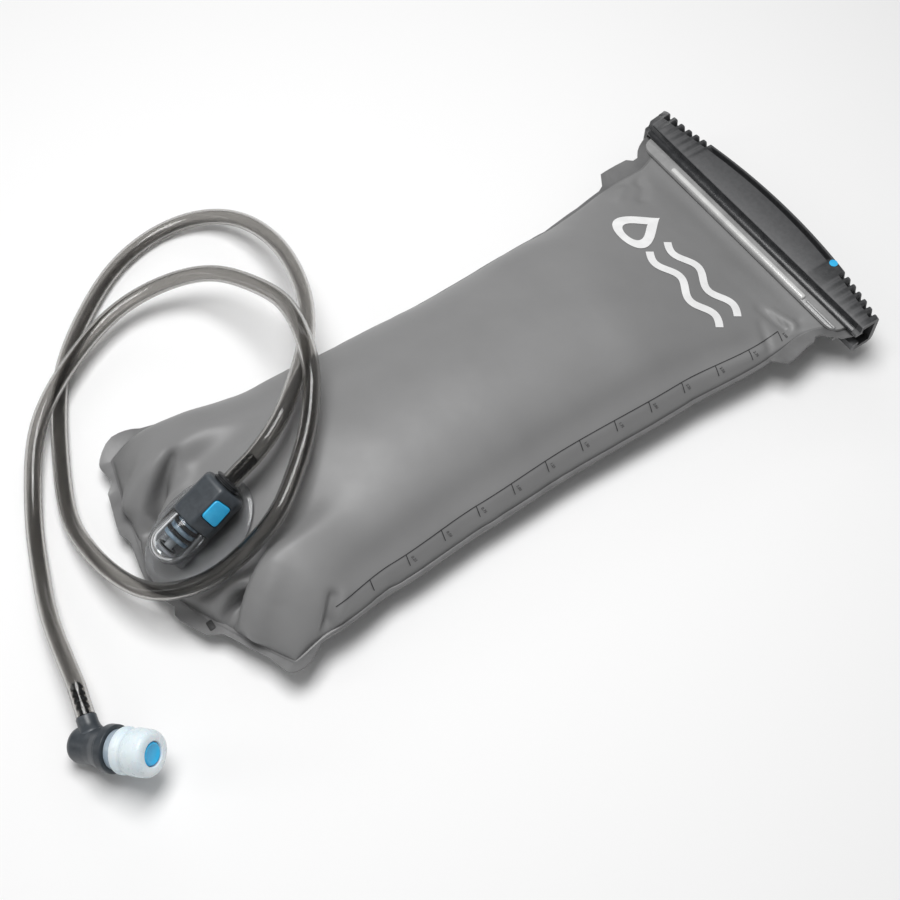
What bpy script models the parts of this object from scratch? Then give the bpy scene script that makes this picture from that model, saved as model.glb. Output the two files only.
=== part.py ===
"""Hydration bladder: a filled film reservoir lying on its back, its slide closure and rails,
a plug-in drink line with a shut-off socket, and a bite valve on an angled elbow.

Metres, +Z up. X runs along the bag from the port end (-X) to the slide closure (+X), Y runs
across it, and Z = 0 is the surface it lies on. The origin is under the middle of the bag.
"""

import math

import bmesh
import bpy
from mathutils import Matrix, Vector

# Gaps and walls
GAP = 0.0003
FILM_THICKNESS = 0.0010
FRAME_SHIFT_X = 0.0050

# Bag
BAG_END_X = -0.2320
MOUTH_X = 0.2000
MOUTH_FLAT_X = 0.1820
SHOULDER_LENGTH = 0.1200
END_LENGTH = 0.0550
END_FLANGE = 0.0060
SIDE_FLANGE = 0.0035
FAR_BOW = 0.0170
NEAR_BOW = 0.0360
FAR_PULL = 0.0550
SEAM_Z = 0.0260
END_SEAM_Z = 0.0115
SEAM_DROP_FROM = -0.1600
CROWN = 0.0325
BELLY = 0.0340
FILM_SEAT = FILM_THICKNESS + 0.0002
PRESSED_HALF_WIDTH = 0.0640
PRESSED_BLEND = 0.0220
HALF_WIDTHS = (
    (-0.232, 0.0720),
    (-0.214, 0.0815),
    (-0.195, 0.0855),
    (-0.165, 0.0830),
    (-0.120, 0.0780),
    (-0.060, 0.0745),
    (0.000, 0.0725),
    (0.080, 0.0745),
    (0.140, 0.0795),
    (0.172, 0.0780),
    (0.200, 0.0870),
)
FILM_ROWS = 26
FILM_COLUMNS = 16

# Mouth rails and slide closure
RAIL_START_X = 0.1840
RAIL_END_X = 0.2050
RAIL_BEAD_X = 0.1985
RAIL_PLATE = 0.0022
RAIL_BEAD_HEIGHT = 0.0055
RAIL_LOW_Y = -0.0905
RAIL_HIGH_Y = 0.0930
SLIDER_HALF_LENGTH = 0.1000
SLIDER_INNER_X = 0.1920
SLIDER_TIP_X = 0.2095
SLIDER_BOW = 0.0125
SLIDER_HEIGHT = 0.0220
SLIDER_END_WALL = 0.0035
SLOT_HALF_HEIGHT = 0.0041
CHANNEL_START_X = 0.1972
CHANNEL_END_X = 0.2063
CHANNEL_HALF_HEIGHT = 0.0078
RIB_COUNT = 6
RIB_PITCH = 0.0060
RIB_DEPTH = 0.0018
DOT_RADIUS = 0.0026
DOT_CENTRE = (0.2145, -0.0540)

# Plug axis: it leaves the bag's sloping end at NECK, pitched up and turned a little to +Y
PORT_PITCH = math.radians(23.0)
PORT_YAW = math.radians(7.0)
NECK = Vector((-0.1690, 0.0060, 0.0600))
AXIS_HEIGHT = 0.0130
PLATE_THICKNESS = 0.0025
PLATE_LENGTH = 0.0720
PLATE_WIDTH = 0.0500
PLATE_CENTRE = -0.0335
PEDESTAL_WIDTH = 0.0140
PEDESTAL_LENGTH = 0.0210
PEDESTAL_CENTRE = -0.0425
SOCKET_RADIUS = 0.0120
SOCKET_MOUTH = -0.0305
SOCKET_FRONT = -0.0570
SOCKET_BORE = 0.0088
BORE_END = -0.0445
SEAT_BORE = 0.0050
SEAT_END = -0.0460
CHAMBER_RADIUS = 0.0075
CHAMBER_END = -0.0530
FLOW_RADIUS = 0.0019
INLET_AT = -0.0495
FILM_HOLE_RADIUS = 0.0060

SPIGOT_TIP = -0.0425
SPIGOT_RADIUS = 0.0076
SPIGOT_SHANK = 0.0050
GROOVE_RADIUS = 0.0060
GROOVE_WIDTH = 0.0028
RING_SECTION = 0.0011
RING_RADIUS = 0.0074
RING_PLACES = {"o_ring_front": -0.0390, "o_ring_rear": -0.0340}
HOUSING_FRONT = -0.0300
HOUSING_REAR = -0.0040
HOUSING_OUTLINE = (
    (0.0115, -0.0090),
    (0.0040, -0.0135),
    (-0.0010, -0.0135),
    (-0.0120, -0.0070),
    (-0.0120, 0.0070),
    (-0.0010, 0.0135),
    (0.0040, 0.0135),
    (0.0115, 0.0090),
)
BARB_LENGTH = 0.0180
BARB_RADIUS = 0.0035
BARB_SHANK = 0.0041
TUBE_RADIUS = 0.0050
TUBE_BORE = 0.0039
TUBE_SPACING = 0.0225

BUTTON_SIZE = (0.0130, 0.0110, 0.0036)
BUTTON_AT = -0.0165
BUTTON_FACE = 0.0121
BUTTON_PROUD = 0.0008
BUTTON_TRAVEL = 0.0020
POCKET_FLOOR = 0.0036

# Valve axis: from the back end of the elbow's barrel, VALVE_BACK, towards the mouthpiece
VALVE_BACK = Vector((-0.3030, -0.0560, 0.0090))
VALVE_AZIMUTH = math.radians(-52.0)
VALVE_PITCH = math.radians(26.0)
STUB_AZIMUTH = math.radians(78.0)
STUB_PITCH = math.radians(11.0)
STUB_AT = 0.0130
STUB_LENGTH = 0.0165
STUB_RADIUS = 0.0060
ELBOW_RIM = 0.0270
ELBOW_BORE = 0.0083
STEM_RADIUS = 0.0080
STEM_SHOULDER = 0.0315
STEM_END = 0.0420
CAP_END = 0.0515
CORE_RADIUS = 0.0061

# Drink tube: hand-chosen points between its two straight ends, in metres
TUBE_ROUTE = (
    (-0.1365, 0.0118, 0.0742),
    (-0.1215, 0.0228, 0.0753),
    (-0.1055, 0.0385, 0.0712),
    (-0.0880, 0.0600, 0.0620),
    (-0.0730, 0.0850, 0.0530),
    (-0.0610, 0.1140, 0.0420),
    (-0.0530, 0.1520, 0.0300),
    (-0.0560, 0.1880, 0.0190),
    (-0.0700, 0.2110, 0.0110),
    (-0.0930, 0.2210, 0.0065),
    (-0.1190, 0.2190, 0.0053),
    (-0.1490, 0.2060, 0.0053),
    (-0.1915, 0.1710, 0.0053),
    (-0.2160, 0.1360, 0.0053),
    (-0.2430, 0.0730, 0.0070),
    (-0.2460, 0.0430, 0.0130),
    (-0.2430, 0.0150, 0.0208),
    (-0.2335, -0.0112, 0.0293),
    (-0.2165, -0.0257, 0.0380),
    (-0.1960, -0.0310, 0.0450),
    (-0.1610, -0.0270, 0.0600),
    (-0.1430, -0.0150, 0.0665),
    (-0.1240, 0.0010, 0.0695),
    (-0.1090, 0.0190, 0.0740),
    (-0.0990, 0.0350, 0.0785),
    (-0.0920, 0.0560, 0.0755),
    (-0.0860, 0.0780, 0.0670),
    (-0.0840, 0.1060, 0.0545),
    (-0.1000, 0.1560, 0.0320),
    (-0.1400, 0.1740, 0.0190),
    (-0.1815, 0.1630, 0.0160),
    (-0.2300, 0.1290, 0.0145),
    (-0.2585, 0.0840, 0.0053),
    (-0.2740, 0.0430, 0.0068),
    (-0.2830, 0.0100, 0.0150),
)


# ---------------------------------------------------------------- helpers

def clear_scene():
    for thing in list(bpy.data.objects):
        bpy.data.objects.remove(thing, do_unlink=True)


def make_collection(name):
    group = bpy.data.collections.new(name)
    bpy.context.scene.collection.children.link(group)
    return group


def make_material(name, colour, roughness, metallic=0.0):
    material = bpy.data.materials.new(name)
    material.use_nodes = True
    shader = material.node_tree.nodes["Principled BSDF"]
    shader.inputs["Base Color"].default_value = (*colour, 1.0)
    shader.inputs["Roughness"].default_value = roughness
    shader.inputs["Metallic"].default_value = metallic
    return material


def add_part(name, mesh, material, parent=None, location=(0.0, 0.0, 0.0)):
    part = bpy.data.objects.new(name, mesh)
    PARTS.objects.link(part)
    part.parent = parent
    part.location = location
    mesh.materials.append(material)
    return part


def add_axis(name, matrix, parent=None):
    axis = bpy.data.objects.new(name, None)
    PARTS.objects.link(axis)
    axis.parent = parent
    axis.matrix_local = matrix
    return axis


def hide_cutter(cutter):
    for group in list(cutter.users_collection):
        group.objects.unlink(cutter)
    CUTTERS.objects.link(cutter)
    cutter.hide_render = True
    cutter.display_type = "WIRE"


def combine(target, other, operation):
    hide_cutter(other)
    change = target.modifiers.new(operation.title(), "BOOLEAN")
    change.operation = operation
    change.solver = "EXACT"
    change.object = other


def round_edges(part, width, segments=2, angle=35.0):
    bevel = part.modifiers.new("Bevel", "BEVEL")
    bevel.width = width
    bevel.segments = segments
    bevel.limit_method = "ANGLE"
    bevel.angle_limit = math.radians(angle)


def smooth_round(mesh):
    mesh.shade_smooth()
    mesh.set_sharp_from_angle(angle=math.radians(40.0))


def turned(name, profile, material, parent=None, steps=32, closed=False):
    """A turned piece around its local Z, from (radius, height) points, top to bottom."""
    mesh = bpy.data.meshes.new(name)
    edges = [(i, i + 1) for i in range(len(profile) - 1)]
    if closed:
        edges.append((len(profile) - 1, 0))
    mesh.from_pydata([(radius, 0.0, height) for radius, height in profile], edges, [])
    part = add_part(name, mesh, material, parent)
    screw = part.modifiers.new("Screw", "SCREW")
    screw.axis = "Z"
    screw.steps = steps
    screw.render_steps = steps
    screw.use_merge_vertices = True
    screw.merge_threshold = 0.00001
    return part


def box(name, size, centre, material, parent=None):
    mesh = bpy.data.meshes.new(name)
    shape = bmesh.new()
    bmesh.ops.create_cube(shape, size=1.0)
    bmesh.ops.scale(shape, vec=Vector(size), verts=shape.verts)
    bmesh.ops.translate(shape, vec=Vector(centre), verts=shape.verts)
    shape.to_mesh(mesh)
    shape.free()
    return add_part(name, mesh, material, parent)


def cylinder(name, radius, low, high, material, parent=None, segments=24):
    """A cylinder on its parent's Z axis between two heights."""
    mesh = bpy.data.meshes.new(name)
    shape = bmesh.new()
    bmesh.ops.create_cone(shape, cap_ends=True, segments=segments, radius1=radius,
                          radius2=radius, depth=high - low)
    bmesh.ops.translate(shape, vec=Vector((0.0, 0.0, (low + high) / 2.0)), verts=shape.verts)
    shape.to_mesh(mesh)
    shape.free()
    smooth_round(mesh)
    return add_part(name, mesh, material, parent)


def mesh_from_curve(name, curve_object, material):
    """Replaces a curve by its evaluated mesh, with the caps welded on."""
    bpy.context.view_layer.update()
    graph = bpy.context.evaluated_depsgraph_get()
    mesh = bpy.data.meshes.new_from_object(curve_object.evaluated_get(graph))
    shape = bmesh.new()
    shape.from_mesh(mesh)
    bmesh.ops.remove_doubles(shape, verts=shape.verts, dist=0.00001)
    shape.to_mesh(mesh)
    shape.free()
    mesh.materials.clear()
    part = add_part(name, mesh, material)
    part.matrix_world = curve_object.matrix_world
    bpy.data.objects.remove(curve_object, do_unlink=True)
    return part


def prism(name, outline, thickness, material):
    """A flat outline in the local XY plane, thickened equally to both sides."""
    curve = bpy.data.curves.new(name, "CURVE")
    curve.dimensions = "2D"
    curve.fill_mode = "BOTH"
    curve.extrude = thickness / 2.0
    spline = curve.splines.new("POLY")
    spline.points.add(len(outline) - 1)
    for point, (x, y) in zip(spline.points, outline):
        point.co = (x, y, 0.0, 1.0)
    spline.use_cyclic_u = True
    drawn = bpy.data.objects.new(name + "_outline", curve)
    PARTS.objects.link(drawn)
    return mesh_from_curve(name, drawn, material)


def ring(name, radius, section, height, material, parent, segments=32):
    """A round ring of a small octagonal section, turned around the parent's Z axis."""
    sides = 8
    profile = []
    for k in range(sides):
        turn = -2.0 * math.pi * (k + 0.5) / sides
        profile.append((radius + section * math.cos(turn), height + section * math.sin(turn)))
    return turned(name, profile, material, parent, segments, closed=True)


def helix_spring(name, radius, wire, low, high, turns, material, parent):
    curve = bpy.data.curves.new(name, "CURVE")
    curve.dimensions = "3D"
    curve.bevel_depth = wire
    curve.bevel_resolution = 1
    curve.use_fill_caps = True
    per_turn = 14
    count = int(turns * per_turn) + 1
    spline = curve.splines.new("POLY")
    spline.points.add(count - 1)
    for k, point in enumerate(spline.points):
        turn = 2.0 * math.pi * k / per_turn
        height = low + wire + (high - low - 2.0 * wire) * k / (count - 1)
        point.co = (radius * math.cos(turn), radius * math.sin(turn), height, 1.0)
    part = bpy.data.objects.new(name, curve)
    PARTS.objects.link(part)
    part.parent = parent
    curve.materials.append(material)
    weld = part.modifiers.new("Weld", "WELD")
    weld.merge_threshold = 0.00001
    return part


def smoothstep(value):
    value = min(max(value, 0.0), 1.0)
    return value * value * (3.0 - 2.0 * value)


def catmull_rom(a, b, c, d, t):
    return 0.5 * ((2.0 * b) + (c - a) * t + (2.0 * a - 5.0 * b + 4.0 * c - d) * t ** 2
                  + (3.0 * b - a - 3.0 * c + d) * t ** 3)


def direction(azimuth, pitch):
    return Vector((math.cos(pitch) * math.cos(azimuth), math.cos(pitch) * math.sin(azimuth),
                   math.sin(pitch)))


def axis_matrix(origin, z_axis):
    return Matrix.Translation(origin) @ z_axis.to_track_quat("Z", "Y").to_matrix().to_4x4()


# ---------------------------------------------------------------- bag

def half_width(x):
    """Half the bag's width at x, read smoothly from HALF_WIDTHS."""
    if x <= HALF_WIDTHS[0][0]:
        return HALF_WIDTHS[0][1]
    for (x0, w0), (x1, w1) in zip(HALF_WIDTHS, HALF_WIDTHS[1:]):
        if x <= x1:
            return w0 + (w1 - w0) * smoothstep((x - x0) / (x1 - x0))
    return HALF_WIDTHS[-1][1]


def far_waist(x):
    """Where the far side is drawn in: 1 along the middle of the bag, 0 at its ends."""
    return smoothstep((x + 0.1950) / 0.0500) * smoothstep((0.1700 - x) / 0.0600)


def seam_height(x):
    drop = smoothstep((SEAM_DROP_FROM - x) / (SEAM_DROP_FROM - BAG_END_X))
    return SEAM_Z + (END_SEAM_Z - SEAM_Z) * drop


def port_plane(x, y):
    """Height of the flat, sloping film under the port's plate."""
    normal = direction(PORT_YAW + math.pi, math.pi / 2.0 - PORT_PITCH)
    foot = NECK - normal * (AXIS_HEIGHT + PLATE_THICKNESS + GAP)
    return foot.z - (normal.x * (x - foot.x) + normal.y * (y - foot.y)) / normal.z


def fullness(x, start_x):
    """How far the film stands off the seam, 0 at both ends of the bag and 1 between."""
    rise = min(max((x - start_x) / END_LENGTH, 0.0), 1.0)
    along = math.sqrt(1.0 - (1.0 - rise) ** 2.3)
    mouth = smoothstep((MOUTH_FLAT_X - x) / SHOULDER_LENGTH) ** 0.75
    return along * mouth


def front_height(x, y, across, start_x):
    crowned = seam_height(x) + FILM_SEAT + CROWN * fullness(x, start_x) * across
    flat = smoothstep((PRESSED_HALF_WIDTH - abs(y - NECK.y)) / PRESSED_BLEND)
    pressed = min(crowned, port_plane(x, y))
    return crowned + (pressed - crowned) * flat


def back_height(x, y, across, start_x):
    sagged = seam_height(x) - FILM_SEAT - BELLY * fullness(x, start_x) * across
    return max(sagged, 0.0)


def film(name, height_at, faces_up, material):
    """One film: a grid shaped over the bag, with a flat weld flange on its closed edges."""
    mesh = bpy.data.meshes.new(name)
    shape = bmesh.new()
    bmesh.ops.create_grid(shape, x_segments=FILM_ROWS, y_segments=FILM_COLUMNS, size=1.0)
    inner = 1.0 - 2.0 / FILM_COLUMNS
    first = 1.0 / FILM_ROWS
    for vertex in shape.verts:
        row = (vertex.co.x + 1.0) / 2.0
        column = vertex.co.y
        side = min(abs(column) / inner, 1.0)
        angle = math.copysign(side, column) * math.pi / 2.0
        bow = (FAR_BOW if column > 0.0 else NEAR_BOW) * abs(math.sin(angle)) ** 1.2
        start_x = BAG_END_X + END_FLANGE + bow
        if row < first / 2.0:
            x = BAG_END_X + bow
        else:
            along = max((row - first) / (1.0 - 2.0 * first), 0.0)
            x = start_x + (MOUTH_FLAT_X - start_x) * along ** 1.35
        if row > 1.0 - first / 2.0:
            x = MOUTH_X
        y = half_width(x) * math.sin(angle)
        if column > 0.0:
            y *= 1.0 - FAR_PULL * far_waist(x)
        if abs(column) > inner + 0.001:
            y += math.copysign(SIDE_FLANGE, column)
        across = max(math.cos(angle), 0.0) ** 0.85
        vertex.co = (x, y, height_at(x, y, across, start_x))
    if not faces_up:
        bmesh.ops.reverse_faces(shape, faces=shape.faces)
    shape.to_mesh(mesh)
    shape.free()
    mesh.shade_smooth()
    part = add_part(name, mesh, material)
    shell = part.modifiers.new("Solidify", "SOLIDIFY")
    shell.thickness = FILM_THICKNESS
    shell.offset = -1.0
    return part


def build_bag(materials, inlet_axis):
    front = film("front_film", front_height, True, materials["film"])
    hole = cylinder("film_hole", FILM_HOLE_RADIUS, AXIS_HEIGHT - 0.004, AXIS_HEIGHT + 0.010,
                    materials["film"], inlet_axis)
    combine(front, hole, "DIFFERENCE")
    film("back_film", back_height, False, materials["film"])


# ---------------------------------------------------------------- mouth and closure

def rail(name, side, material):
    """A mouth rail: a strip welded on one film, with a bead that the slider holds."""
    low = side * (SEAM_Z + side * (FILM_SEAT + GAP))
    plate = low + RAIL_PLATE
    bead = low + RAIL_BEAD_HEIGHT
    outline = (
        (RAIL_START_X, low),
        (RAIL_END_X, low),
        (RAIL_END_X, bead - 0.001),
        (RAIL_END_X - 0.001, bead),
        (RAIL_BEAD_X + 0.001, bead),
        (RAIL_BEAD_X, bead - 0.001),
        (RAIL_BEAD_X, plate),
        (RAIL_START_X, plate),
    )
    flat = [(x, side * z) for x, z in outline]
    part = prism(name, flat, RAIL_HIGH_Y - RAIL_LOW_Y, material)
    part.rotation_euler = (math.pi / 2.0, 0.0, 0.0)
    part.location = (0.0, (RAIL_LOW_Y + RAIL_HIGH_Y) / 2.0, 0.0)


def slider_outline():
    """The slide closure seen from above: a straight inner edge and a bowed, ribbed outer one."""
    points = [(SLIDER_INNER_X, SLIDER_HALF_LENGTH), (SLIDER_INNER_X, -SLIDER_HALF_LENGTH)]
    steps = 110
    ribs_from = SLIDER_HALF_LENGTH - 0.0025 - RIB_COUNT * RIB_PITCH
    for k in range(steps + 1):
        y = -SLIDER_HALF_LENGTH + 2.0 * SLIDER_HALF_LENGTH * k / steps
        x = SLIDER_TIP_X + SLIDER_BOW * (1.0 - (y / SLIDER_HALF_LENGTH) ** 2)
        along = (abs(y) - ribs_from) / RIB_PITCH
        if 0.0 < along < RIB_COUNT:
            x -= RIB_DEPTH * (0.5 - 0.5 * math.cos(2.0 * math.pi * along))
        points.append((x, y))
    return points


def build_closure(materials):
    rail("front_rail", 1.0, materials["rail"])
    rail("back_rail", -1.0, materials["rail"])
    slider = prism("closure_slider", slider_outline(), SLIDER_HEIGHT, materials["slider"])
    slider.location = (0.0, 0.0, SEAM_Z)
    reach_low = -SLIDER_HALF_LENGTH - 0.005
    reach_high = SLIDER_HALF_LENGTH - SLIDER_END_WALL
    middle = (reach_low + reach_high) / 2.0
    reach = reach_high - reach_low
    slot_low = SLIDER_INNER_X - 0.004
    slot = box("slider_slot", (CHANNEL_START_X + 0.001 - slot_low, reach, 2.0 * SLOT_HALF_HEIGHT),
               ((slot_low + CHANNEL_START_X + 0.001) / 2.0, middle, SEAM_Z), materials["slider"])
    channel = box("slider_channel", (CHANNEL_END_X - CHANNEL_START_X, reach,
                                     2.0 * CHANNEL_HALF_HEIGHT),
                  ((CHANNEL_START_X + CHANNEL_END_X) / 2.0, middle, SEAM_Z), materials["slider"])
    combine(slider, slot, "DIFFERENCE")
    combine(slider, channel, "DIFFERENCE")
    top = SEAM_Z + SLIDER_HEIGHT / 2.0
    pocket = cylinder("dot_pocket", DOT_RADIUS + GAP, top - 0.001, top + 0.002,
                      materials["slider"])
    pocket.location = (*DOT_CENTRE, 0.0)
    combine(slider, pocket, "DIFFERENCE")
    dot = cylinder("slider_dot", DOT_RADIUS, top - 0.001 + GAP, top + 0.0002, materials["blue"])
    dot.location = (*DOT_CENTRE, 0.0)


# ---------------------------------------------------------------- port and plug

def build_port(materials, plug_axis, inlet_axis):
    """The welded plate with its clear socket. Local Z is the plug axis, local X points down."""
    dome = []
    for k in range(1, 8):
        turn = math.radians(90.0 * k / 8.0)
        dome.append((SOCKET_RADIUS * math.cos(turn),
                     SOCKET_FRONT + SOCKET_RADIUS - SOCKET_RADIUS * math.sin(turn)))
    profile = [(0.0, SOCKET_MOUTH), (SOCKET_RADIUS - 0.0006, SOCKET_MOUTH),
               (SOCKET_RADIUS, SOCKET_MOUTH - 0.0006),
               (SOCKET_RADIUS, SOCKET_FRONT + SOCKET_RADIUS), *dome, (0.0, SOCKET_FRONT)]
    port = turned("port_body", profile, materials["clear"], plug_axis, 40)
    downward = Matrix(((0.0, 0.0, 1.0), (1.0, 0.0, 0.0), (0.0, 1.0, 0.0))).to_4x4()
    plate_axis = add_axis("plate_axis", Matrix.Translation((0.0, 0.0, PLATE_CENTRE)) @ downward,
                          plug_axis)
    plate = cylinder("port_plate", 0.5, AXIS_HEIGHT, AXIS_HEIGHT + PLATE_THICKNESS,
                     materials["clear"], plate_axis, 48)
    plate.data.transform(Matrix.Diagonal((PLATE_WIDTH, PLATE_LENGTH, 1.0, 1.0)))
    depth = AXIS_HEIGHT + 0.001
    pedestal = box("port_pedestal", (depth, PEDESTAL_WIDTH, PEDESTAL_LENGTH),
                   (depth / 2.0, 0.0, PEDESTAL_CENTRE), materials["clear"], plug_axis)
    combine(port, plate, "UNION")
    combine(port, pedestal, "UNION")
    bore = turned("socket_bore", [
        (0.0, SOCKET_MOUTH + 0.002), (SOCKET_BORE, SOCKET_MOUTH + 0.002), (SOCKET_BORE, BORE_END),
        (SEAT_BORE, BORE_END), (SEAT_BORE, SEAT_END), (CHAMBER_RADIUS, SEAT_END),
        (CHAMBER_RADIUS, CHAMBER_END), (0.0, CHAMBER_END)], materials["clear"], plug_axis, 32)
    combine(port, bore, "DIFFERENCE")
    inlet = cylinder("inlet", FLOW_RADIUS, 0.004, 0.020, materials["clear"], inlet_axis, 16)
    combine(port, inlet, "DIFFERENCE")


def build_poppet(materials, plug_axis):
    """The socket's own shut-off: a disc that closes on the seat when the plug is out."""
    face = SEAT_END - 0.0015
    disc = face - 0.0014
    turned("poppet", [(0.0, SPIGOT_TIP - GAP), (0.0024, SPIGOT_TIP - GAP), (0.0024, disc),
                      (0.0063, disc), (0.0063, disc - 0.0012), (0.0, disc - 0.0012)],
           materials["poppet"], plug_axis, 24)
    ring("poppet_seal", 0.0052, 0.0005, face - 0.0005, materials["rubber"], plug_axis, 24)
    helix_spring("poppet_spring", 0.0048, 0.00035, CHAMBER_END + GAP, disc - 0.0012 - GAP, 2.0,
                 materials["steel"], plug_axis)


def build_plug(materials, plug_axis):
    grooves = []
    for place in sorted(RING_PLACES.values(), reverse=True):
        top = place + GROOVE_WIDTH / 2.0
        low = place - GROOVE_WIDTH / 2.0
        grooves += [(SPIGOT_RADIUS, top), (GROOVE_RADIUS, top), (GROOVE_RADIUS, low),
                    (SPIGOT_RADIUS, low)]
    turned("plug_spigot", [
        (SPIGOT_SHANK, HOUSING_FRONT + 0.0060), (SPIGOT_SHANK, HOUSING_FRONT - GAP),
        (SPIGOT_RADIUS, HOUSING_FRONT - GAP), *grooves, (SPIGOT_RADIUS, SPIGOT_TIP + 0.0006),
        (SPIGOT_RADIUS - 0.0006, SPIGOT_TIP), (FLOW_RADIUS, SPIGOT_TIP),
        (FLOW_RADIUS, HOUSING_FRONT + 0.0060)], materials["slate"], plug_axis, 32, closed=True)
    for name, place in RING_PLACES.items():
        ring(name, RING_RADIUS, RING_SECTION, place, materials["rubber"], plug_axis)

    housing = prism("plug_housing", HOUSING_OUTLINE, HOUSING_REAR - HOUSING_FRONT,
                    materials["slate"])
    housing.parent = plug_axis
    housing.matrix_local = Matrix.Translation((0.0, 0.0, (HOUSING_FRONT + HOUSING_REAR) / 2.0))
    round_edges(housing, 0.0010)
    bore = turned("housing_bore", [
        (0.0, HOUSING_REAR + 0.002), (BARB_SHANK + GAP, HOUSING_REAR + 0.002),
        (BARB_SHANK + GAP, HOUSING_REAR - 0.0060), (FLOW_RADIUS, HOUSING_REAR - 0.0060),
        (FLOW_RADIUS, HOUSING_FRONT + 0.0060 + GAP),
        (SPIGOT_SHANK + GAP, HOUSING_FRONT + 0.0060 + GAP),
        (SPIGOT_SHANK + GAP, HOUSING_FRONT - 0.002), (0.0, HOUSING_FRONT - 0.002)],
        materials["slate"], plug_axis, 24)
    combine(housing, bore, "DIFFERENCE")

    turned("hose_barb", [
        *barb_profile(0.0), (0.0078, 0.0), (0.0080, -0.0003), (0.0080, -0.0030),
        (0.0078, HOUSING_REAR + GAP), (BARB_SHANK, HOUSING_REAR + GAP),
        (BARB_SHANK, HOUSING_REAR - 0.0060 + GAP), (FLOW_RADIUS, HOUSING_REAR - 0.0060 + GAP),
        (FLOW_RADIUS, BARB_LENGTH)], materials["slate"], plug_axis, 32, closed=True)
    return housing


def barb_profile(foot):
    """The outer side of a hose barb from its tip down to foot, with four ridges."""
    ridges = 4
    pitch = (BARB_LENGTH - 0.0040) / ridges
    points = [(BARB_RADIUS - 0.0008, foot + BARB_LENGTH)]
    for k in range(ridges):
        top = foot + BARB_LENGTH - k * pitch
        points += [(BARB_RADIUS, top - 0.0030), (BARB_RADIUS - 0.0006, top - 0.0031)]
    points.append((BARB_RADIUS - 0.0006, foot))
    return points


def build_button(materials, plug_axis, housing):
    """The release button, sunk in the housing's slanted side. Local Z is its press axis."""
    slant = Vector((HOUSING_OUTLINE[3][1] - HOUSING_OUTLINE[2][1],
                    HOUSING_OUTLINE[2][0] - HOUSING_OUTLINE[3][0], 0.0))
    outward = -slant.normalized()
    along = Vector((0.0, 0.0, 1.0))
    across = outward.cross(along)
    turn = Matrix((along, across, outward)).transposed().to_4x4()
    axis = add_axis("button_axis", Matrix.Translation((0.0, 0.0, BUTTON_AT)) @ turn, plug_axis)
    length, width, depth = BUTTON_SIZE
    top = BUTTON_FACE + BUTTON_PROUD
    pocket_top = BUTTON_FACE + 0.003
    pocket = box("button_pocket", (length + 0.0008, width + 0.0008, pocket_top - POCKET_FLOOR),
                 (0.0, 0.0, (pocket_top + POCKET_FLOOR) / 2.0), materials["slate"], axis)
    combine(housing, pocket, "DIFFERENCE")
    button = box("release_button", BUTTON_SIZE, (0.0, 0.0, top - depth / 2.0),
                 materials["blue"], axis)
    round_edges(button, 0.0008)
    helix_spring("button_spring", 0.0026, 0.0003, POCKET_FLOOR + BUTTON_TRAVEL + GAP,
                 top - depth - GAP, 2.0, materials["steel"], axis)


# ---------------------------------------------------------------- drink tube

def tube_ends(plug_axis, stub_axis):
    """The straight runs over the two barbs, as world points: start first, valve end last."""
    start = [plug_axis.matrix_world @ Vector((0.0, 0.0, s)) for s in (GAP, 0.010, 0.020)]
    end = [stub_axis.matrix_world @ Vector((0.0, 0.0, STUB_LENGTH + s))
           for s in (0.020, 0.010, GAP)]
    return start, end


def smooth_route(points, spacing):
    """Points every spacing along a smooth curve through the route's points."""
    padded = [points[0] * 2.0 - points[1], *points, points[-1] * 2.0 - points[-2]]
    fine = []
    for k in range(1, len(padded) - 2):
        for step in range(20):
            fine.append(catmull_rom(*padded[k - 1:k + 3], step / 20.0))
    fine.append(points[-1])
    lengths = [0.0]
    for a, b in zip(fine, fine[1:]):
        lengths.append(lengths[-1] + (b - a).length)
    count = round(lengths[-1] / spacing)
    chosen = []
    at = 0
    for k in range(count + 1):
        goal = lengths[-1] * k / count
        while at < len(fine) - 2 and lengths[at + 1] < goal:
            at += 1
        share = (goal - lengths[at]) / (lengths[at + 1] - lengths[at])
        chosen.append(fine[at].lerp(fine[at + 1], share))
    return chosen


def build_tube(materials, plug_axis, stub_axis):
    bpy.context.view_layer.update()
    start, end = tube_ends(plug_axis, stub_axis)
    shift = Vector((FRAME_SHIFT_X, 0.0, 0.0))
    middle = [Vector(point) + shift for point in TUBE_ROUTE]
    points = smooth_route([*start, *middle, *end], TUBE_SPACING)
    curve = bpy.data.curves.new("drink_tube", "CURVE")
    curve.dimensions = "3D"
    curve.bevel_depth = TUBE_RADIUS
    curve.bevel_resolution = 3
    curve.use_fill_caps = True
    spline = curve.splines.new("POLY")
    spline.points.add(len(points) - 1)
    for target, point in zip(spline.points, points):
        target.co = (*point, 1.0)
    drawn = bpy.data.objects.new("drink_tube_route", curve)
    PARTS.objects.link(drawn)
    tube = mesh_from_curve("drink_tube", drawn, materials["tube"])
    plug_end = cylinder("tube_bore_plug", TUBE_BORE, -0.002, BARB_LENGTH + 0.001,
                        materials["tube"], plug_axis, 20)
    valve_end = cylinder("tube_bore_valve", TUBE_BORE, STUB_LENGTH - 0.002,
                         STUB_LENGTH + BARB_LENGTH + 0.001, materials["tube"], stub_axis, 20)
    combine(tube, plug_end, "DIFFERENCE")
    combine(tube, valve_end, "DIFFERENCE")


# ---------------------------------------------------------------- bite valve

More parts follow.
